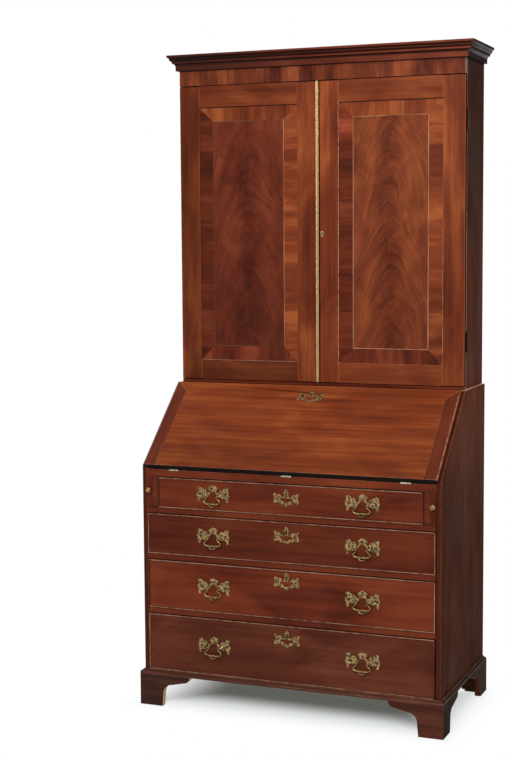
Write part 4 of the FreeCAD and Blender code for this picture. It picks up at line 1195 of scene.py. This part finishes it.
@dataclass
class Door:
    """One panelled door with its sunk, veneered panel."""

    side: str
    lap: float = 8 * MM
    band: float = 48 * MM
    line: float = 1.9 * MM
    line_proud: float = 0.1 * MM
    veneer: float = 0.6 * MM
    veneer_ease: float = 0.12 * MM
    let_in: float = 0.2 * MM
    rail_shadow: float = 2.6 * MM
    near: float = 2.5 * MM
    skin: float = 1 * MM
    strip_width: float = 8.4 * MM
    strip_ease: float = 0.2 * MM
    fillet: float = 1.8 * MM
    fillet_thick: float = 1.4 * MM
    bead_round: float = 2.8 * MM
    # Painted light across the door: the frame's and field's shares at the hinge edge and at the meeting edge
    outer_tone: float = 1.0
    inner_tone: float = 1.0
    field_share: float = 0.7
    rail_tones: Point = (0.88, 0.94)
    band_tones: Four = (1.0, 1.10, 0.58, 0.99)
    line_tones: Four = (0.70, 1.0, 0.85, 0.90)
    # How pale the frame's arrises are rubbed, partly as painted highlights
    rubbed: float = 1.15
    rubbed_to: Colour = WORN_EDGE
    arris: float = 1.7 * MM
    rubbed_uprights: bool = True
    flame: FlameVeneer = FLAME
    # Darkening shares by height for each band
    band_smoke: tuple[Points, ...] = (
        ((1.838, 0.50), (1.866, 0.92)), ((1.14, 0.68), (1.30, 0.74), (1.42, 1.0)), (), ())
    key: Point = (14.2 * MM, 1552 * MM)
    key_rim: Triple = (5.2, 6.2, 13.6)
    key_slot: Triple = (3.4, 3.4, 11.8)
    liner: Point = (0.6 * MM, 0.3 * MM)
    keyway: Point = (0.1 * MM, 0.02 * MM)
    lock_edge: float = 0.3 * MM
    low: Vector = field(init=False)
    high: Vector = field(init=False)

    def __post_init__(self) -> None:
        """Finds the panel's opening from the CAD panel."""
        low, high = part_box(f"{self.side}_door_panel")
        inset = Vector((self.lap, 0, self.lap))
        self.low, self.high = low + inset, high - inset

    @property
    def body(self) -> str:
        """The CAD body that carries the door."""
        return f"{self.side}_door"

    def slab(self, name: str, x: Point, z: Point, proud: float, cuts: Sequence[Cut] = ()) -> Piece:
        """A strip of veneer on the panel.

        Args:
            name: The piece's name.
            x: Its two upright edges.
            z: Its lower and upper edges.
            proud: How far its face stands out from the panel.
            cuts: Mitre cuts.

        Returns:
            The strip.
        """
        face = self.low.y
        return Bench.board(name, Vector((min(x), face - proud, min(z))),
                           Vector((max(x), face + self.let_in, max(z))), self.veneer_ease, cuts)

    def mitred(self, name: str, inset: float, width: float, proud: float) -> list[Piece]:
        """Four strips round the opening, mitred where they meet.

        Args:
            name: What the strips are called.
            inset: How far the outer edge lies inside the opening.
            width: The strips' width.
            proud: How far they stand out from the panel.

        Returns:
            The upright strips and then the level ones.
        """
        x0, x1 = self.low.x + inset, self.high.x - inset
        z0, z1 = self.low.z + inset, self.high.z - inset
        sides, ends = ((x0, 1), (x1, -1)), ((z0, 1), (z1, -1))
        strips = []
        for x, inwards in sides:
            cuts = [(Vector((x, 0, z)), Vector((inwards, 0, -upwards))) for z, upwards in ends]
            strips.append(self.slab(f"{name}_upright", (x, x + inwards * width), (z0, z1), proud, cuts))
        for z, upwards in ends:
            cuts = [(Vector((x, 0, z)), Vector((-inwards, 0, upwards))) for x, inwards in sides]
            strips.append(self.slab(f"{name}_level", (x0, x1), (z, z + upwards * width), proud, cuts))
        return strips

    def build(self) -> None:
        """Lays the flame field, the crossbanding and the boxwood line, and fits the brass."""
        name = self.body
        inset = self.band + self.line
        flame_field = self.slab(f"{name}_flame_field", (self.low.x + inset, self.high.x - inset),
                                (self.low.z + inset, self.high.z - inset), self.veneer)
        flame = replace(self.flame, middle=(self.low.x + self.high.x) / 2)
        settle(flame_field, name, Slot.PANEL, flame.shaded(f"{name}_flame", self.toned(self.field_share)))
        # Painted shadow: a dark strip along the bands' top edges under the top rail
        under_rail = space(z=(self.high.z - self.rail_shadow, FAR))
        bands = self.mitred(f"{name}_band", 0.0, self.band, self.veneer)
        woods = (RED_BAND_UPRIGHT, BAND_UPRIGHT, RED_BAND_LEVEL, BAND_LEVEL)
        for band, wood, tone, smoke in zip(bands, woods, self.band_tones, self.band_smoke):
            shaded = wood.shaded(f"{band.name}_{wood.name}", tone)
            band.data.materials.append(replace(shaded, seams=(under_rail,), smoke=smoke).material())
        settle(Bench.joined(f"{name}_crossband", bands), name, Slot.PANEL)
        lines = self.mitred(f"{name}_line", self.band, self.line, self.veneer + self.line_proud)
        for line, tone in zip(lines, self.line_tones):
            line.data.materials.append(BOXWOOD.shaded(f"{line.name}_{BOXWOOD.name}", tone).material())
        settle(Bench.joined(f"{name}_stringing", lines), name, Slot.STRINGING)
        if self.side == "left":
            self.build_astragal()
        else:
            self.build_keyhole()

    def build_keyhole(self) -> None:
        """Lines the keyhole with a thin brass rim round its slot, which a dark sheet behind fills as painted
        shade.
        """
        x, z = self.key
        place = Matrix.Translation((x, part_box(f"{self.body}_frame")[0].y, z))
        rim, slot = (KeyPlate(keyhole=sizes).key_line() for sizes in (self.key_rim, self.key_slot))
        liner = Bench.cast_plate(f"{self.body}_key_liner", [rim, slot], *self.liner)
        keyway = Bench.cast_plate(f"{self.body}_keyway", [slot], *self.keyway)
        for piece, finish in ((liner, RUBBED_BRASS), (keyway, KEYWAY_IRON)):
            piece.data.transform(place)
            settle(piece, self.body, Slot.BRASS, finish)

    def build_astragal(self) -> None:
        """Models the brass strip on the meeting edge: a bead between two flat fillets."""
        low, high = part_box("brass_astragal")
        high.x = low.x + self.strip_width
        reach = high.y - low.y
        strip = Bench.board("brass_meeting_strip", Vector((low.x, high.y - self.fillet_thick, low.z)), high,
                            self.strip_ease)
        Bench.edit(strip, "FACE")
        Bench.pick(strip, lambda middle, normal: normal.y < -FACING)
        bpy.ops.mesh.inset(thickness=self.fillet)
        bpy.ops.mesh.extrude_region_move(TRANSFORM_OT_translate={"value": (0, self.fillet_thick - reach, 0)})
        Bench.done()
        Bench.edit(strip)
        nose = low.y + self.strip_ease
        Bench.pick(strip, lambda middle, way: abs(way.z) > FACING and middle.y < nose, "EDGE")
        bpy.ops.mesh.bevel(offset=self.bead_round, segments=6, affect="EDGES")
        Bench.done()
        Bench.smooth(strip)
        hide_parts("brass_astragal")
        settle(strip, self.body, Slot.BRASS, STRIP_BRASS)

    def dress(self) -> None:
        """Finishes the frame, the back of the panel and the metalwork."""
        stile = replace(STILE_WOOD, worn_to=self.rubbed_to)
        woods = [stile.shaded(f"{self.body}_{stile.name}_{share}", self.toned(share)) for share in (1, 0)]
        woods += [RAIL_WOOD.shaded(f"{self.body}_{end}_rail", tone)
                  for end, tone in zip(("top", "bottom"), self.rail_tones)]
        dress(f"{self.body}_frame", [*woods, HUNG_EDGE], self.pick, edge=self.arris, wear=self.rubbed,
              seams=self.seams(), joints=self.joints())
        dress(f"{self.body}_panel", [STILE_WOOD], edge=0)
        dress(f"{self.body}_hinge_leaves", [HINGE_BRASS], edge=0)
        if self.side == "right":
            dress("right_door_lock", [OLD_BRASS], edge=self.lock_edge)

    def toned(self, share: float) -> float:
        """How light the wood is painted, as light falling off across the door: 1 at the hinges, 0 at the
        meeting edge.
        """
        return self.inner_tone + (self.outer_tone - self.inner_tone) * share

    def pick(self, middle: Vector, normal: Vector) -> int:
        """Tells the hinge stile, the meeting stile, the two rails and the door's own side edges, painted in
        shade, apart.

        Args:
            middle: A face's middle.
            normal: The face's normal.

        Returns:
            The place of the face's finish.
        """
        if abs(normal.x) > FACING and not self.low.x - self.skin < middle.x < self.high.x + self.skin:
            return 4
        if self.low.x < middle.x < self.high.x:
            return 2 if middle.z > (self.low.z + self.high.z) / 2 else 3
        return 0 if abs(middle.x) > self.high.x - self.low.x else 1

    def seams(self) -> Boxes:
        """Finds the door's ends, its meeting edge and the rail over the panel.

        Returns:
            Boxes in which edges are painted dark as shade: the door's ends, its meeting edge and under the
            rail.
        """
        foot, head = (corner.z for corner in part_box(f"{self.body}_frame"))
        over = space((self.low.x, self.high.x), z=(self.high.z - self.near, self.high.z + self.near))
        return (space(z=(-FAR, foot + self.near)), space(z=(head - self.near, FAR)),
                space((-self.strip_width, self.strip_width)), over)

    def joints(self) -> Boxes:
        """Finds the hinge edge and the joints of stiles and rails.

        Returns:
            Boxes in which the edges are less rubbed and carry less painted highlight.
        """
        near = self.near
        ends = [(-FAR, FAR)]
        if self.rubbed_uprights:
            ends = [(-FAR, self.low.z - near), (self.high.z + near, FAR)]
        low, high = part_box(f"{self.body}_frame")
        hung = low.x if self.side == "left" else high.x
        return (space((hung - near, hung + near)),
                *(space((x - near, x + near), z=end) for x in (self.low.x, self.high.x) for end in ends))


@dataclass
class KeyPlate:
    """The pierced plate round a keyhole, its outlines in millimetres."""

    thick: float = 1.6 * MM
    ease: float = 1.2 * MM
    half: Points = (
        (0, 18), (3.6, 14.5), (7.2, 8), (8, 0.5), (7.2, -6.5), (9.5, -9), (13.5, -8.6), (17, -5),
        (21.5, -1.6), (27, -1.4), (31, -3), (34.5, 0.6), (39, 2.6), (43, 0.4), (42.4, -5), (40.2, -10),
        (40.4, -16), (42.4, -21.5), (44, -27), (42, -31), (37, -31.4), (32.5, -28.6), (29, -27),
        (25.5, -28.4), (21.5, -32), (16.5, -33.4), (11.5, -32.4), (8, -35), (3.6, -37), (0, -41))
    hollow: Points = (
        (0, -12.5), (6, -13.4), (12, -14), (17, -13), (20.5, -15), (20, -19), (15.5, -22), (10.5, -24),
        (6.5, -27), (0, -29))
    eye: Triple = (31, -13.5, 2.6)
    keyhole: Triple = (3.3, 3.4, 11.5)
    keyhole_steps: int = 14

    @staticmethod
    def whole(half: Sequence[Point]) -> list[Point]:
        """Both halves of an outline that starts and ends on the middle line, in metres."""
        other = [(-x, z) for x, z in reversed(half[1:-1])]
        return [(x * MM, z * MM) for x, z in (*half, *other)]

    @staticmethod
    def ring(x: float, z: float, radius: float, steps: int = 16) -> list[Point]:
        """A round hole's points, in metres."""
        turns = [2 * math.pi * i / steps for i in range(steps)]
        return [((x + radius * math.cos(t)) * MM, (z + radius * math.sin(t)) * MM) for t in turns]

    def key_line(self) -> list[Point]:
        """Draws the keyhole: a round eye over a slot.

        Returns:
            The outline's points, in metres.
        """
        radius, width, drop = self.keyhole
        start = math.asin(width / 2 / radius)
        sweep = 2 * math.pi - 2 * start
        steps = self.keyhole_steps
        turns = [start - math.pi / 2 + sweep * i / steps for i in range(steps + 1)]
        line = [(radius * math.cos(t), radius * math.sin(t)) for t in turns]
        line += [(-width / 2, -drop), (width / 2, -drop)]
        return [(x * MM, z * MM) for x, z in line]

    def model(self) -> Piece:
        """Casts the plate with its keyhole at the origin.

        Returns:
            The plate.
        """
        x, z, radius = self.eye
        lines = [*(Bench.flowing(self.whole(half)) for half in (self.half, self.hollow)),
                 self.ring(x, z, radius), self.ring(-x, z, radius), self.key_line()]
        return Bench.cast_plate("key_plate_model", lines, self.thick, self.ease)


@dataclass
class Handle:
    """A pierced back plate with two posts and the swinging bail between them, drawn in millimetres."""

    thick: float = 1.6 * MM
    ease: float = 1.2 * MM
    post_set: float = 27 * MM
    axis: float = 11 * MM
    half: Points = (
        (0, 34.5), (4, 32), (9, 29.4), (14, 26), (14.8, 21.6), (11.6, 18), (12, 13), (14.6, 8.8), (19, 8.8),
        (22, 13), (26, 18.5), (31, 20.6), (33.5, 17.6), (36, 21), (40, 25), (45, 27.4), (51, 26.8), (55, 24),
        (52.8, 20), (52.8, 15), (55.4, 9.5), (57, 3), (55.4, -4), (53, -10), (53, -16), (50.5, -21),
        (46.5, -18.6), (45, -12.6), (42, -8.4), (37, -7.6), (33, -9.4), (29, -8.8), (24, -7.4), (19, -6),
        (14.4, -1.6), (12, 3), (10, 7.4), (6, 10.8), (0, 12.2))
    eyes: tuple[Triple, ...] = ((0, 18.6, 2.4), (43.5, 4, 4.0), (44, 17, 2.2))
    bail_half: tuple[Triple, ...] = (
        (31.5, 0, 1.6), (24, 0, 1.6), (21, 0, 1.9), (17, -1.2, 2.1), (16.4, -5.4, 2.0), (20.6, -10.2, 2.0),
        (26, -15, 2.2), (27.6, -20, 2.6), (23, -24.6, 3.1), (14, -26.4, 3.3), (7, -26.6, 3.2),
        (0, -26.6, 3.5))
    pendant_half: tuple[Triple, ...] = ((12, -27, 1.2), (10.6, -31, 1.4), (6, -35, 1.7), (0, -36.6, 2.1))
    pendant_line: float = -29.4
    # Reach of the bow's lowest stretch, rubbed and painted with a highlight
    rubbed_half: float = 23.0
    rubbed_line: float = -22.6
    post: Points = (
        (5.0, -1.6), (5.0, -3.2), (4.2, -4.2), (2.7, -5.0), (2.7, -6.4), (3.6, -7.4), (4.3, -9.0),
        (4.45, -11), (4.2, -13), (3.3, -14.6), (1.8, -15.4), (0.3, -15.6))
    nut_half: float = 6 * MM
    nut_thick: float = 4 * MM
    nut_ease: float = 0.6 * MM
    tip: Points = ((2.6, 3.5), (2.6, 5.5), (1.8, 6))
    tip_sides: int = 16

    @staticmethod
    def bowed(half: Sequence[Triple]) -> list[Triple]:
        """Both halves of a rod whose last point is on the middle line, in metres."""
        other = [(-x, z, radius) for x, z, radius in reversed(half[:-1])]
        return [(x * MM, z * MM, radius * MM) for x, z, radius in (*half, *other)]

    def model_plate(self) -> Piece:
        """Casts the back plate about the post line.

        Returns:
            The plate.
        """
        lines = [Bench.flowing(KeyPlate.whole(self.half))]
        for x, z, radius in self.eyes:
            lines += [KeyPlate.ring(side * x, z, radius) for side in ((1, -1) if x else (1,))]
        return Bench.cast_plate("handle_plate_model", lines, self.thick, self.ease)

    def model_bail(self) -> Piece:
        """Draws the swan-necked bail with its small pendant loop.

        Returns:
            The bail.
        """
        rods = [Bench.drawn_rod(name, self.bowed(half), -self.axis)
                for name, half in (("bail_bow", self.bail_half), ("bail_pendant", self.pendant_half))]
        whole = Bench.joined("bail_model", rods)
        # The bow's lowest stretch takes the rubbed finish with its painted highlight, the pendant loop the
        # painted shade
        for face in whole.data.polygons:
            x, _, z = face.center / MM
            rubbed = abs(x) < self.rubbed_half and z < self.rubbed_line
            face.material_index = 2 if z < self.pendant_line else int(rubbed)
        return whole

    def model_post(self) -> Piece:
        """Turns a post with its round head, its bolt and the square nut inside the drawer.

        Returns:
            The post.
        """
        half, back = self.nut_half, FRONT_THICK
        head = Bench.turned("post_head", [(radius * MM, y * MM) for radius, y in self.post])
        nut = Bench.board("post_nut", Vector((-half, back, -half)),
                          Vector((half, back + self.nut_thick, half)), self.nut_ease)
        tip = Bench.turned("post_tip", [(radius * MM, back + y * MM) for radius, y in self.tip],
                           self.tip_sides)
        return Bench.joined("post_model", [head, nut, tip])


@dataclass
class Brasses:
    """The models from which each drawer's brasses are copied."""

    plate: Piece
    bail: Piece
    post: Piece
    key_plate: Piece


@dataclass
class Drawers:
    """The four long drawers: fronts, boxes and brasses."""

    names: tuple[str, ...] = ("drawer_1", "drawer_2", "drawer_3", "drawer_4")
    key_drops: tuple[float, ...] = (31 * MM, 31.5 * MM, 25 * MM, 31.5 * MM)
    tones: tuple[float, ...] = (0.89, 0.70, 1.05, 0.78)
    brown: str = "drawer_4"
    # Upright beads whose noses take the painted highlight
    pale_sides: tuple[tuple[str, int], ...] = (
        ("drawer_2", -1), ("drawer_2", 1), ("drawer_3", 1), ("drawer_4", -1))
    bead: float = 4 * MM
    nose_facing: float = 0.7
    skin: float = 0.1 * MM
    box_side: float = 11 * MM
    box_edge: float = 0.5 * MM
    box_wear: float = 0.2
    bail_rise: float = 2 * MM
    lock: Triple = (60 * MM, 44 * MM, 10 * MM)
    lock_ease: float = 0.8 * MM
    lock_above_key: float = 18 * MM

    def dress(self) -> None:
        """Finishes the fronts, their cock beads' noses painted pale as highlights over flanks painted in
        shade, and the oak boxes.
        """
        for name, tone in zip(self.names, self.tones):
            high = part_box(f"{name}_front")[1]
            wood = (BROWN_FRONT if name == self.brown else FRONT_WOOD).shaded(f"{name}_mahogany", tone)
            dress(f"{name}_front", [wood, SHADED_WOOD, BEAD_WOOD, BEAD_FLANK], partial(self.pick, name, high),
                  edge=0)
            dress(f"{name}_box", [LINING, LINING_DEEP], partial(self.pick_box, high.x - self.box_side),
                  edge=self.box_edge, wear=self.box_wear)

    def pick(self, name: str, high: Vector, middle: Vector, normal: Vector) -> int:
        """Tells a front's face, its edges in painted shade, and its beads' noses, painted as highlights, and
        flanks, in painted shade, apart.

        Args:
            name: The drawer.
            high: The front's highest corner.
            middle: A face's middle.
            normal: The face's normal.

        Returns:
            The place of the face's finish.
        """
        if middle.y > high.y - FRONT_THICK - self.skin:
            return 0 if abs(normal.y) > FACING else 1
        # Painted light: lit bead noses take the highlight finish, the others the shaded flank finish
        upright = abs(middle.x) > high.x - self.bead
        rubbed = not upright or (name, 1 if middle.x > 0 else -1) in self.pale_sides
        return 2 if normal.y < -self.nose_facing and rubbed else 3

    @staticmethod
    def pick_box(side_line: float, middle: Vector, normal: Vector) -> int:
        """Picks a box's sides, whose grain runs backwards."""
        return int(abs(middle.x) > side_line)

    def build(self, handle: Handle, key_plate: Piece) -> None:
        """Fits each drawer's handles, key plate and lock.

        Args:
            handle: The handle's design.
            key_plate: The key plate's model.
        """
        brasses = Brasses(handle.model_plate(), handle.model_bail(), handle.model_post(), key_plate)
        for name, key_drop in zip(self.names, self.key_drops):
            self.fit(name, key_drop, handle.post_set, brasses)
        for model in (brasses.plate, brasses.bail, brasses.post):
            bpy.data.objects.remove(model)

    def fit(self, name: str, key_drop: float, post_set: float, brasses: Brasses) -> None:
        """Fits one drawer's brasses from their models.

        Args:
            name: The drawer.
            key_drop: How far the keyhole lies under the front's upper edge.
            post_set: How far a handle's posts stand from its middle.
            brasses: The models.
        """
        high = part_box(f"{name}_front")[1]
        face = high.y - FRONT_THICK
        posts = []
        for side in ("left", "right"):
            bail_low, bail_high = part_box(f"{name}_{side}_bail")
            spot = Vector(((bail_low.x + bail_high.x) / 2, face, bail_high.z - self.bail_rise))
            place = Matrix.Translation(spot)
            plate = Bench.copy(brasses.plate, f"{name}_{side}_plate", place)
            settle(plate, name, Slot.BRASS, OLD_BRASS, RUBBED_BRASS, DARK_BRASS)
            swing = Bench.copy(brasses.bail, f"{name}_{side}_swan_neck", place)
            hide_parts(f"{name}_{side}_bail")
            settle(swing, f"{name}_{side}_bail", Slot.BRASS, BAIL_BRASS, RUBBED_BRASS, DARK_BRASS)
            for shift in (-post_set, post_set):
                stand = Matrix.Translation(spot + Vector((shift, 0, 0)))
                posts.append(Bench.copy(brasses.post, f"{name}_post", stand))
        stands = Bench.joined(f"{name}_posts", posts)
        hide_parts(f"{name}_brasses")
        settle(stands, name, Slot.BRASS, OLD_BRASS)
        key = Vector((0, face, high.z - key_drop))
        key_plate = Bench.copy(brasses.key_plate, f"{name}_key_plate", Matrix.Translation(key))
        settle(key_plate, name, Slot.BRASS, KEY_BRASS, RUBBED_BRASS, DARK_BRASS)
        width, height, depth = self.lock
        top = key.z + self.lock_above_key
        case = Bench.board(f"{name}_lock", Vector((-width / 2, high.y, top - height)),
                           Vector((width / 2, high.y + depth, top)), self.lock_ease)
        settle(case, name, Slot.BRASS, OLD_BRASS)


@dataclass
class Fall:
    """The sloping writing flap and what carries it; its own places run up the slope and out of it."""

    pivot: Triple = (0, -261.5 * MM, 787.75 * MM)
    face: float = 22.45 * MM
    key_rise: float = 334.97 * MM
    foot: float = 803.2 * MM
    edge: float = 1.1 * MM
    # How pale the fall's arrises and rim are rubbed, partly as painted highlights
    wear: float = 0.35
    rim_wear: float = 0.5
    rim_out: Point = (0.3, 0.92)
    lower_edge: float = 0.95
    loper_tone: float = 0.58
    lock_low: Triple = (-31 * MM, 311.4 * MM, 0.25 * MM)
    lock_high: Triple = (31 * MM, 351.4 * MM, 9.25 * MM)
    lock_ease: float = 0.4 * MM

    def slope(self) -> Matrix:
        """Takes places on the slope into the frame."""
        return Matrix.Translation(self.pivot) @ Matrix.Rotation(FALL_LEAN, 4, "X")

    def build(self, key_plate: Piece) -> None:
        """Fits the key plate and the lock behind it.

        Args:
            key_plate: The key plate's model.
        """
        place = Matrix.Translation((0, self.key_rise, self.face)) @ Matrix.Rotation(-math.pi / 2, 4, "X")
        plate = Bench.copy(key_plate, "fall_key_plate", self.slope() @ place)
        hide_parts("fall_lock")
        settle(plate, "fall", Slot.BRASS, KEY_BRASS, RUBBED_BRASS, DARK_BRASS)
        case = Bench.board("fall_lock_case", Vector(self.lock_low), Vector(self.lock_high), self.lock_ease)
        case.data.transform(self.slope())
        settle(case, "fall", Slot.BRASS, OLD_BRASS)

    def dress(self) -> None:
        """Finishes the board, its mitred cleats, the lopers and their knobs."""
        for node, wood in (("fall_board", FALL_WOOD), ("fall_cleats", CLEAT_WOOD)):
            rim = wood.worn(self.rim_wear, f"{node}_rim")
            dress(node, [wood, SHADED_WOOD, rim], self.pick, edge=self.edge, wear=self.wear,
                  seams=(space(z=(-FAR, self.foot)),), full=True)
        dress("fall_hinge_leaves", [KNUCKLE_BRASS], edge=0)
        for side in ("left", "right"):
            wood = FRONT_UPRIGHT.shaded(f"{side}_loper_mahogany", self.loper_tone)
            dress(f"{side}_loper", [wood], seams=EVERYWHERE)
            dress(f"{side}_loper_knob", [KNOB_BRASS], edge=0)

    def pick(self, middle: Vector, normal: Vector) -> int:
        """Picks the lower edge of the closed flap, painted in shade, and the rounding of its rim, rubbed pale
        with a painted highlight.

        Args:
            middle: A face's middle.
            normal: The face's normal.

        Returns:
            The place of the face's finish.
        """
        if -normal.y * math.cos(FALL_LEAN) - normal.z * math.sin(FALL_LEAN) > self.lower_edge:
            return 1
        out = normal.z * math.cos(FALL_LEAN) - normal.y * math.sin(FALL_LEAN)
        return 2 if self.rim_out[0] < out < self.rim_out[1] else 0


@dataclass
class Interior:
    """The small drawers behind the fall."""

    names: tuple[str, ...] = ("small_drawer_left_1", "small_drawer_left_2", "small_drawer_right_1",
                              "small_drawer_right_2")
    knob_reach: float = 13 * MM
    front_depth: float = 14.2 * MM
    skin: float = 0.1 * MM
    edge: float = 0.4 * MM

    def dress(self) -> None:
        """Finishes the fronts, boxes and turned knobs."""
        for name in self.names:
            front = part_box(name)[0].y + self.knob_reach
            dress(name, [FRONT_WOOD, LINING, OLD_BRASS], partial(self.pick, front), edge=self.edge)

    def pick(self, front: float, middle: Vector, normal: Vector) -> int:
        """Tells a small drawer's knob, its front and its box apart."""
        wood = 0 if middle.y < front + self.front_depth else 1
        return 2 if middle.y < front - self.skin else wood


@dataclass(frozen=True)
class Lamp:
    """A soft square lamp."""

    name: str
    place: Triple
    target: Triple
    size: float
    watts: float

    def build(self) -> None:
        """Hangs the lamp and points it at its target."""
        data = bpy.data.lights.new(self.name, "AREA")
        data.size = self.size
        data.energy = self.watts
        lamp = bpy.data.objects.new(self.name, data)
        lamp.location = self.place
        ahead = Vector(self.target) - Vector(self.place)
        lamp.rotation_euler = ahead.to_track_quat("-Z", "Y").to_euler()
        bpy.context.scene.collection.objects.link(lamp)


@dataclass
class Studio:
    """The floor, the light and the camera."""

    camera_place: Triple = (1.7000, -4.6724, 1.5387)
    azimuth: float = math.radians(22.203)
    pitch: float = math.radians(5.341)
    roll: float = math.radians(0.407)
    focal_px: float = 1514.3
    image_height_px: int = 758
    sensor: float = 36.0
    floor_size: float = 60.0
    floor_colour: Colour = (0.78, 0.88, 0.92)
    floor_glow: Colour = (0.75, 0.95, 1.0)
    floor_glow_strength: float = 0.075
    footprint: Point = (0.52, 0.27)
    fade: Point = (-0.22, 0.08)
    room: float = 0.17
    lamps: tuple[Lamp, ...] = (
        Lamp("key_lamp", (0.9, -4.35, 3.4), (0, 0, 0.9), 2.0, 190),
        Lamp("back_lamp", (-1.6, 4.6, 2.8), (0, 0, 1.0), 2.0, 90),
        Lamp("top_lamp", (0.2, -2.2, 4.6), (0, -0.2, 0.8), 1.6, 26))

    def aim(self) -> Matrix:
        """The camera's matrix, from its place, its azimuth, how far it looks down and its roll."""
        turn = Matrix.Rotation(self.azimuth, 4, "Z") @ Matrix.Rotation(math.pi / 2 - self.pitch, 4, "X")
        return Matrix.Translation(self.camera_place) @ turn @ Matrix.Rotation(-self.roll, 4, "Z")

    def build_camera(self) -> None:
        """Stands the camera where the photograph was taken."""
        data = bpy.data.cameras.new("camera")
        data.sensor_width = self.sensor
        data.lens = self.focal_px / self.image_height_px * self.sensor
        camera = bpy.data.objects.new("camera", data)
        camera.matrix_world = self.aim()
        bpy.context.scene.collection.objects.link(camera)
        bpy.context.scene.camera = camera

    def build_floor(self) -> None:
        """Lays the pale floor that keeps the shadow and fades to white round it."""
        Bench.clear()
        bpy.ops.mesh.primitive_plane_add(size=self.floor_size, location=(0, 0, 0))
        floor = Bench.named("studio_floor")
        recipe = Recipe("studio_floor")
        recipe.shade({"Base Color": self.floor_colour, "Roughness": 1.0, "Specular IOR Level": 0.0,
                      "Emission Color": self.floor_glow, "Emission Strength": self.floor_glow_strength})
        axes = recipe.axes(recipe.place)
        out = [recipe.math("SUBTRACT", recipe.math("ABSOLUTE", axes[axis]), half)
               for axis, half in zip("XY", self.footprint)]
        away = recipe.range(recipe.math("MAXIMUM", *out), *self.fade)
        both = recipe.add("ShaderNodeMixShader", {0: recipe.math("MULTIPLY", away, recipe.seen()),
                                                  1: recipe.shader.outputs[0],
                                                  2: recipe.add("ShaderNodeEmission").outputs[0]})
        recipe.plug(recipe.tree.nodes["Material Output"].inputs["Surface"], both.outputs[0])
        floor.data.materials.append(recipe.material)

    def build_world(self) -> None:
        """Fills the room with soft light, white where it is looked at."""
        world = bpy.data.worlds.new("studio")
        bpy.context.scene.world = world
        world.use_nodes = True
        nodes = Nodes(world.node_tree)
        ends = {"Value": nodes.seen(), "To Min": self.room, "To Max": 1.0}
        strength = nodes.add("ShaderNodeMapRange", ends)
        sky = nodes.tree.nodes["Background"]
        nodes.plug(sky.inputs["Color"], (1, 1, 1))
        nodes.plug(sky.inputs["Strength"], strength.outputs["Result"])

    def build(self) -> None:
        """Sets up the whole studio."""
        self.build_camera()
        self.build_floor()
        self.build_world()
        for lamp in self.lamps:
            lamp.build()
        bpy.context.scene.view_settings.view_transform = "Standard"
        LOG.info("studio ready")


def main() -> None:
    """Builds every sub-assembly in order."""
    logging.basicConfig(level=logging.INFO, format="%(name)s: %(message)s")
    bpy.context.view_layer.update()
    # The left door's tones paint shade darkening towards its hinge edge, and its frame's arrises take a paler
    # painted highlight
    left_door = Door("left", outer_tone=0.60, inner_tone=0.84, rail_tones=(0.84, 0.56),
                     band_tones=(0.45, 1.02, 0.67, 0.86), band_smoke=((), (), (), ()), flame=RED_FLAME,
                     line_tones=(0.16, 0.80, 0.18, 0.20), rubbed=2.4, rubbed_to=RUBBED_RAIL, arris=2.6 * MM,
                     rubbed_uprights=False)
    right_door = Door("right", outer_tone=0.88, inner_tone=1.08)
    for assembly in (Carcase(), left_door, right_door):
        assembly.build()
        assembly.dress()
    key_plate = KeyPlate().model()
    drawers = Drawers()
    drawers.build(Handle(), key_plate)
    drawers.dress()
    fall = Fall()
    fall.build(key_plate)
    fall.dress()
    Interior().dress()
    bpy.data.objects.remove(key_plate)
    Studio().build()


if __name__ == "__main__":
    main()
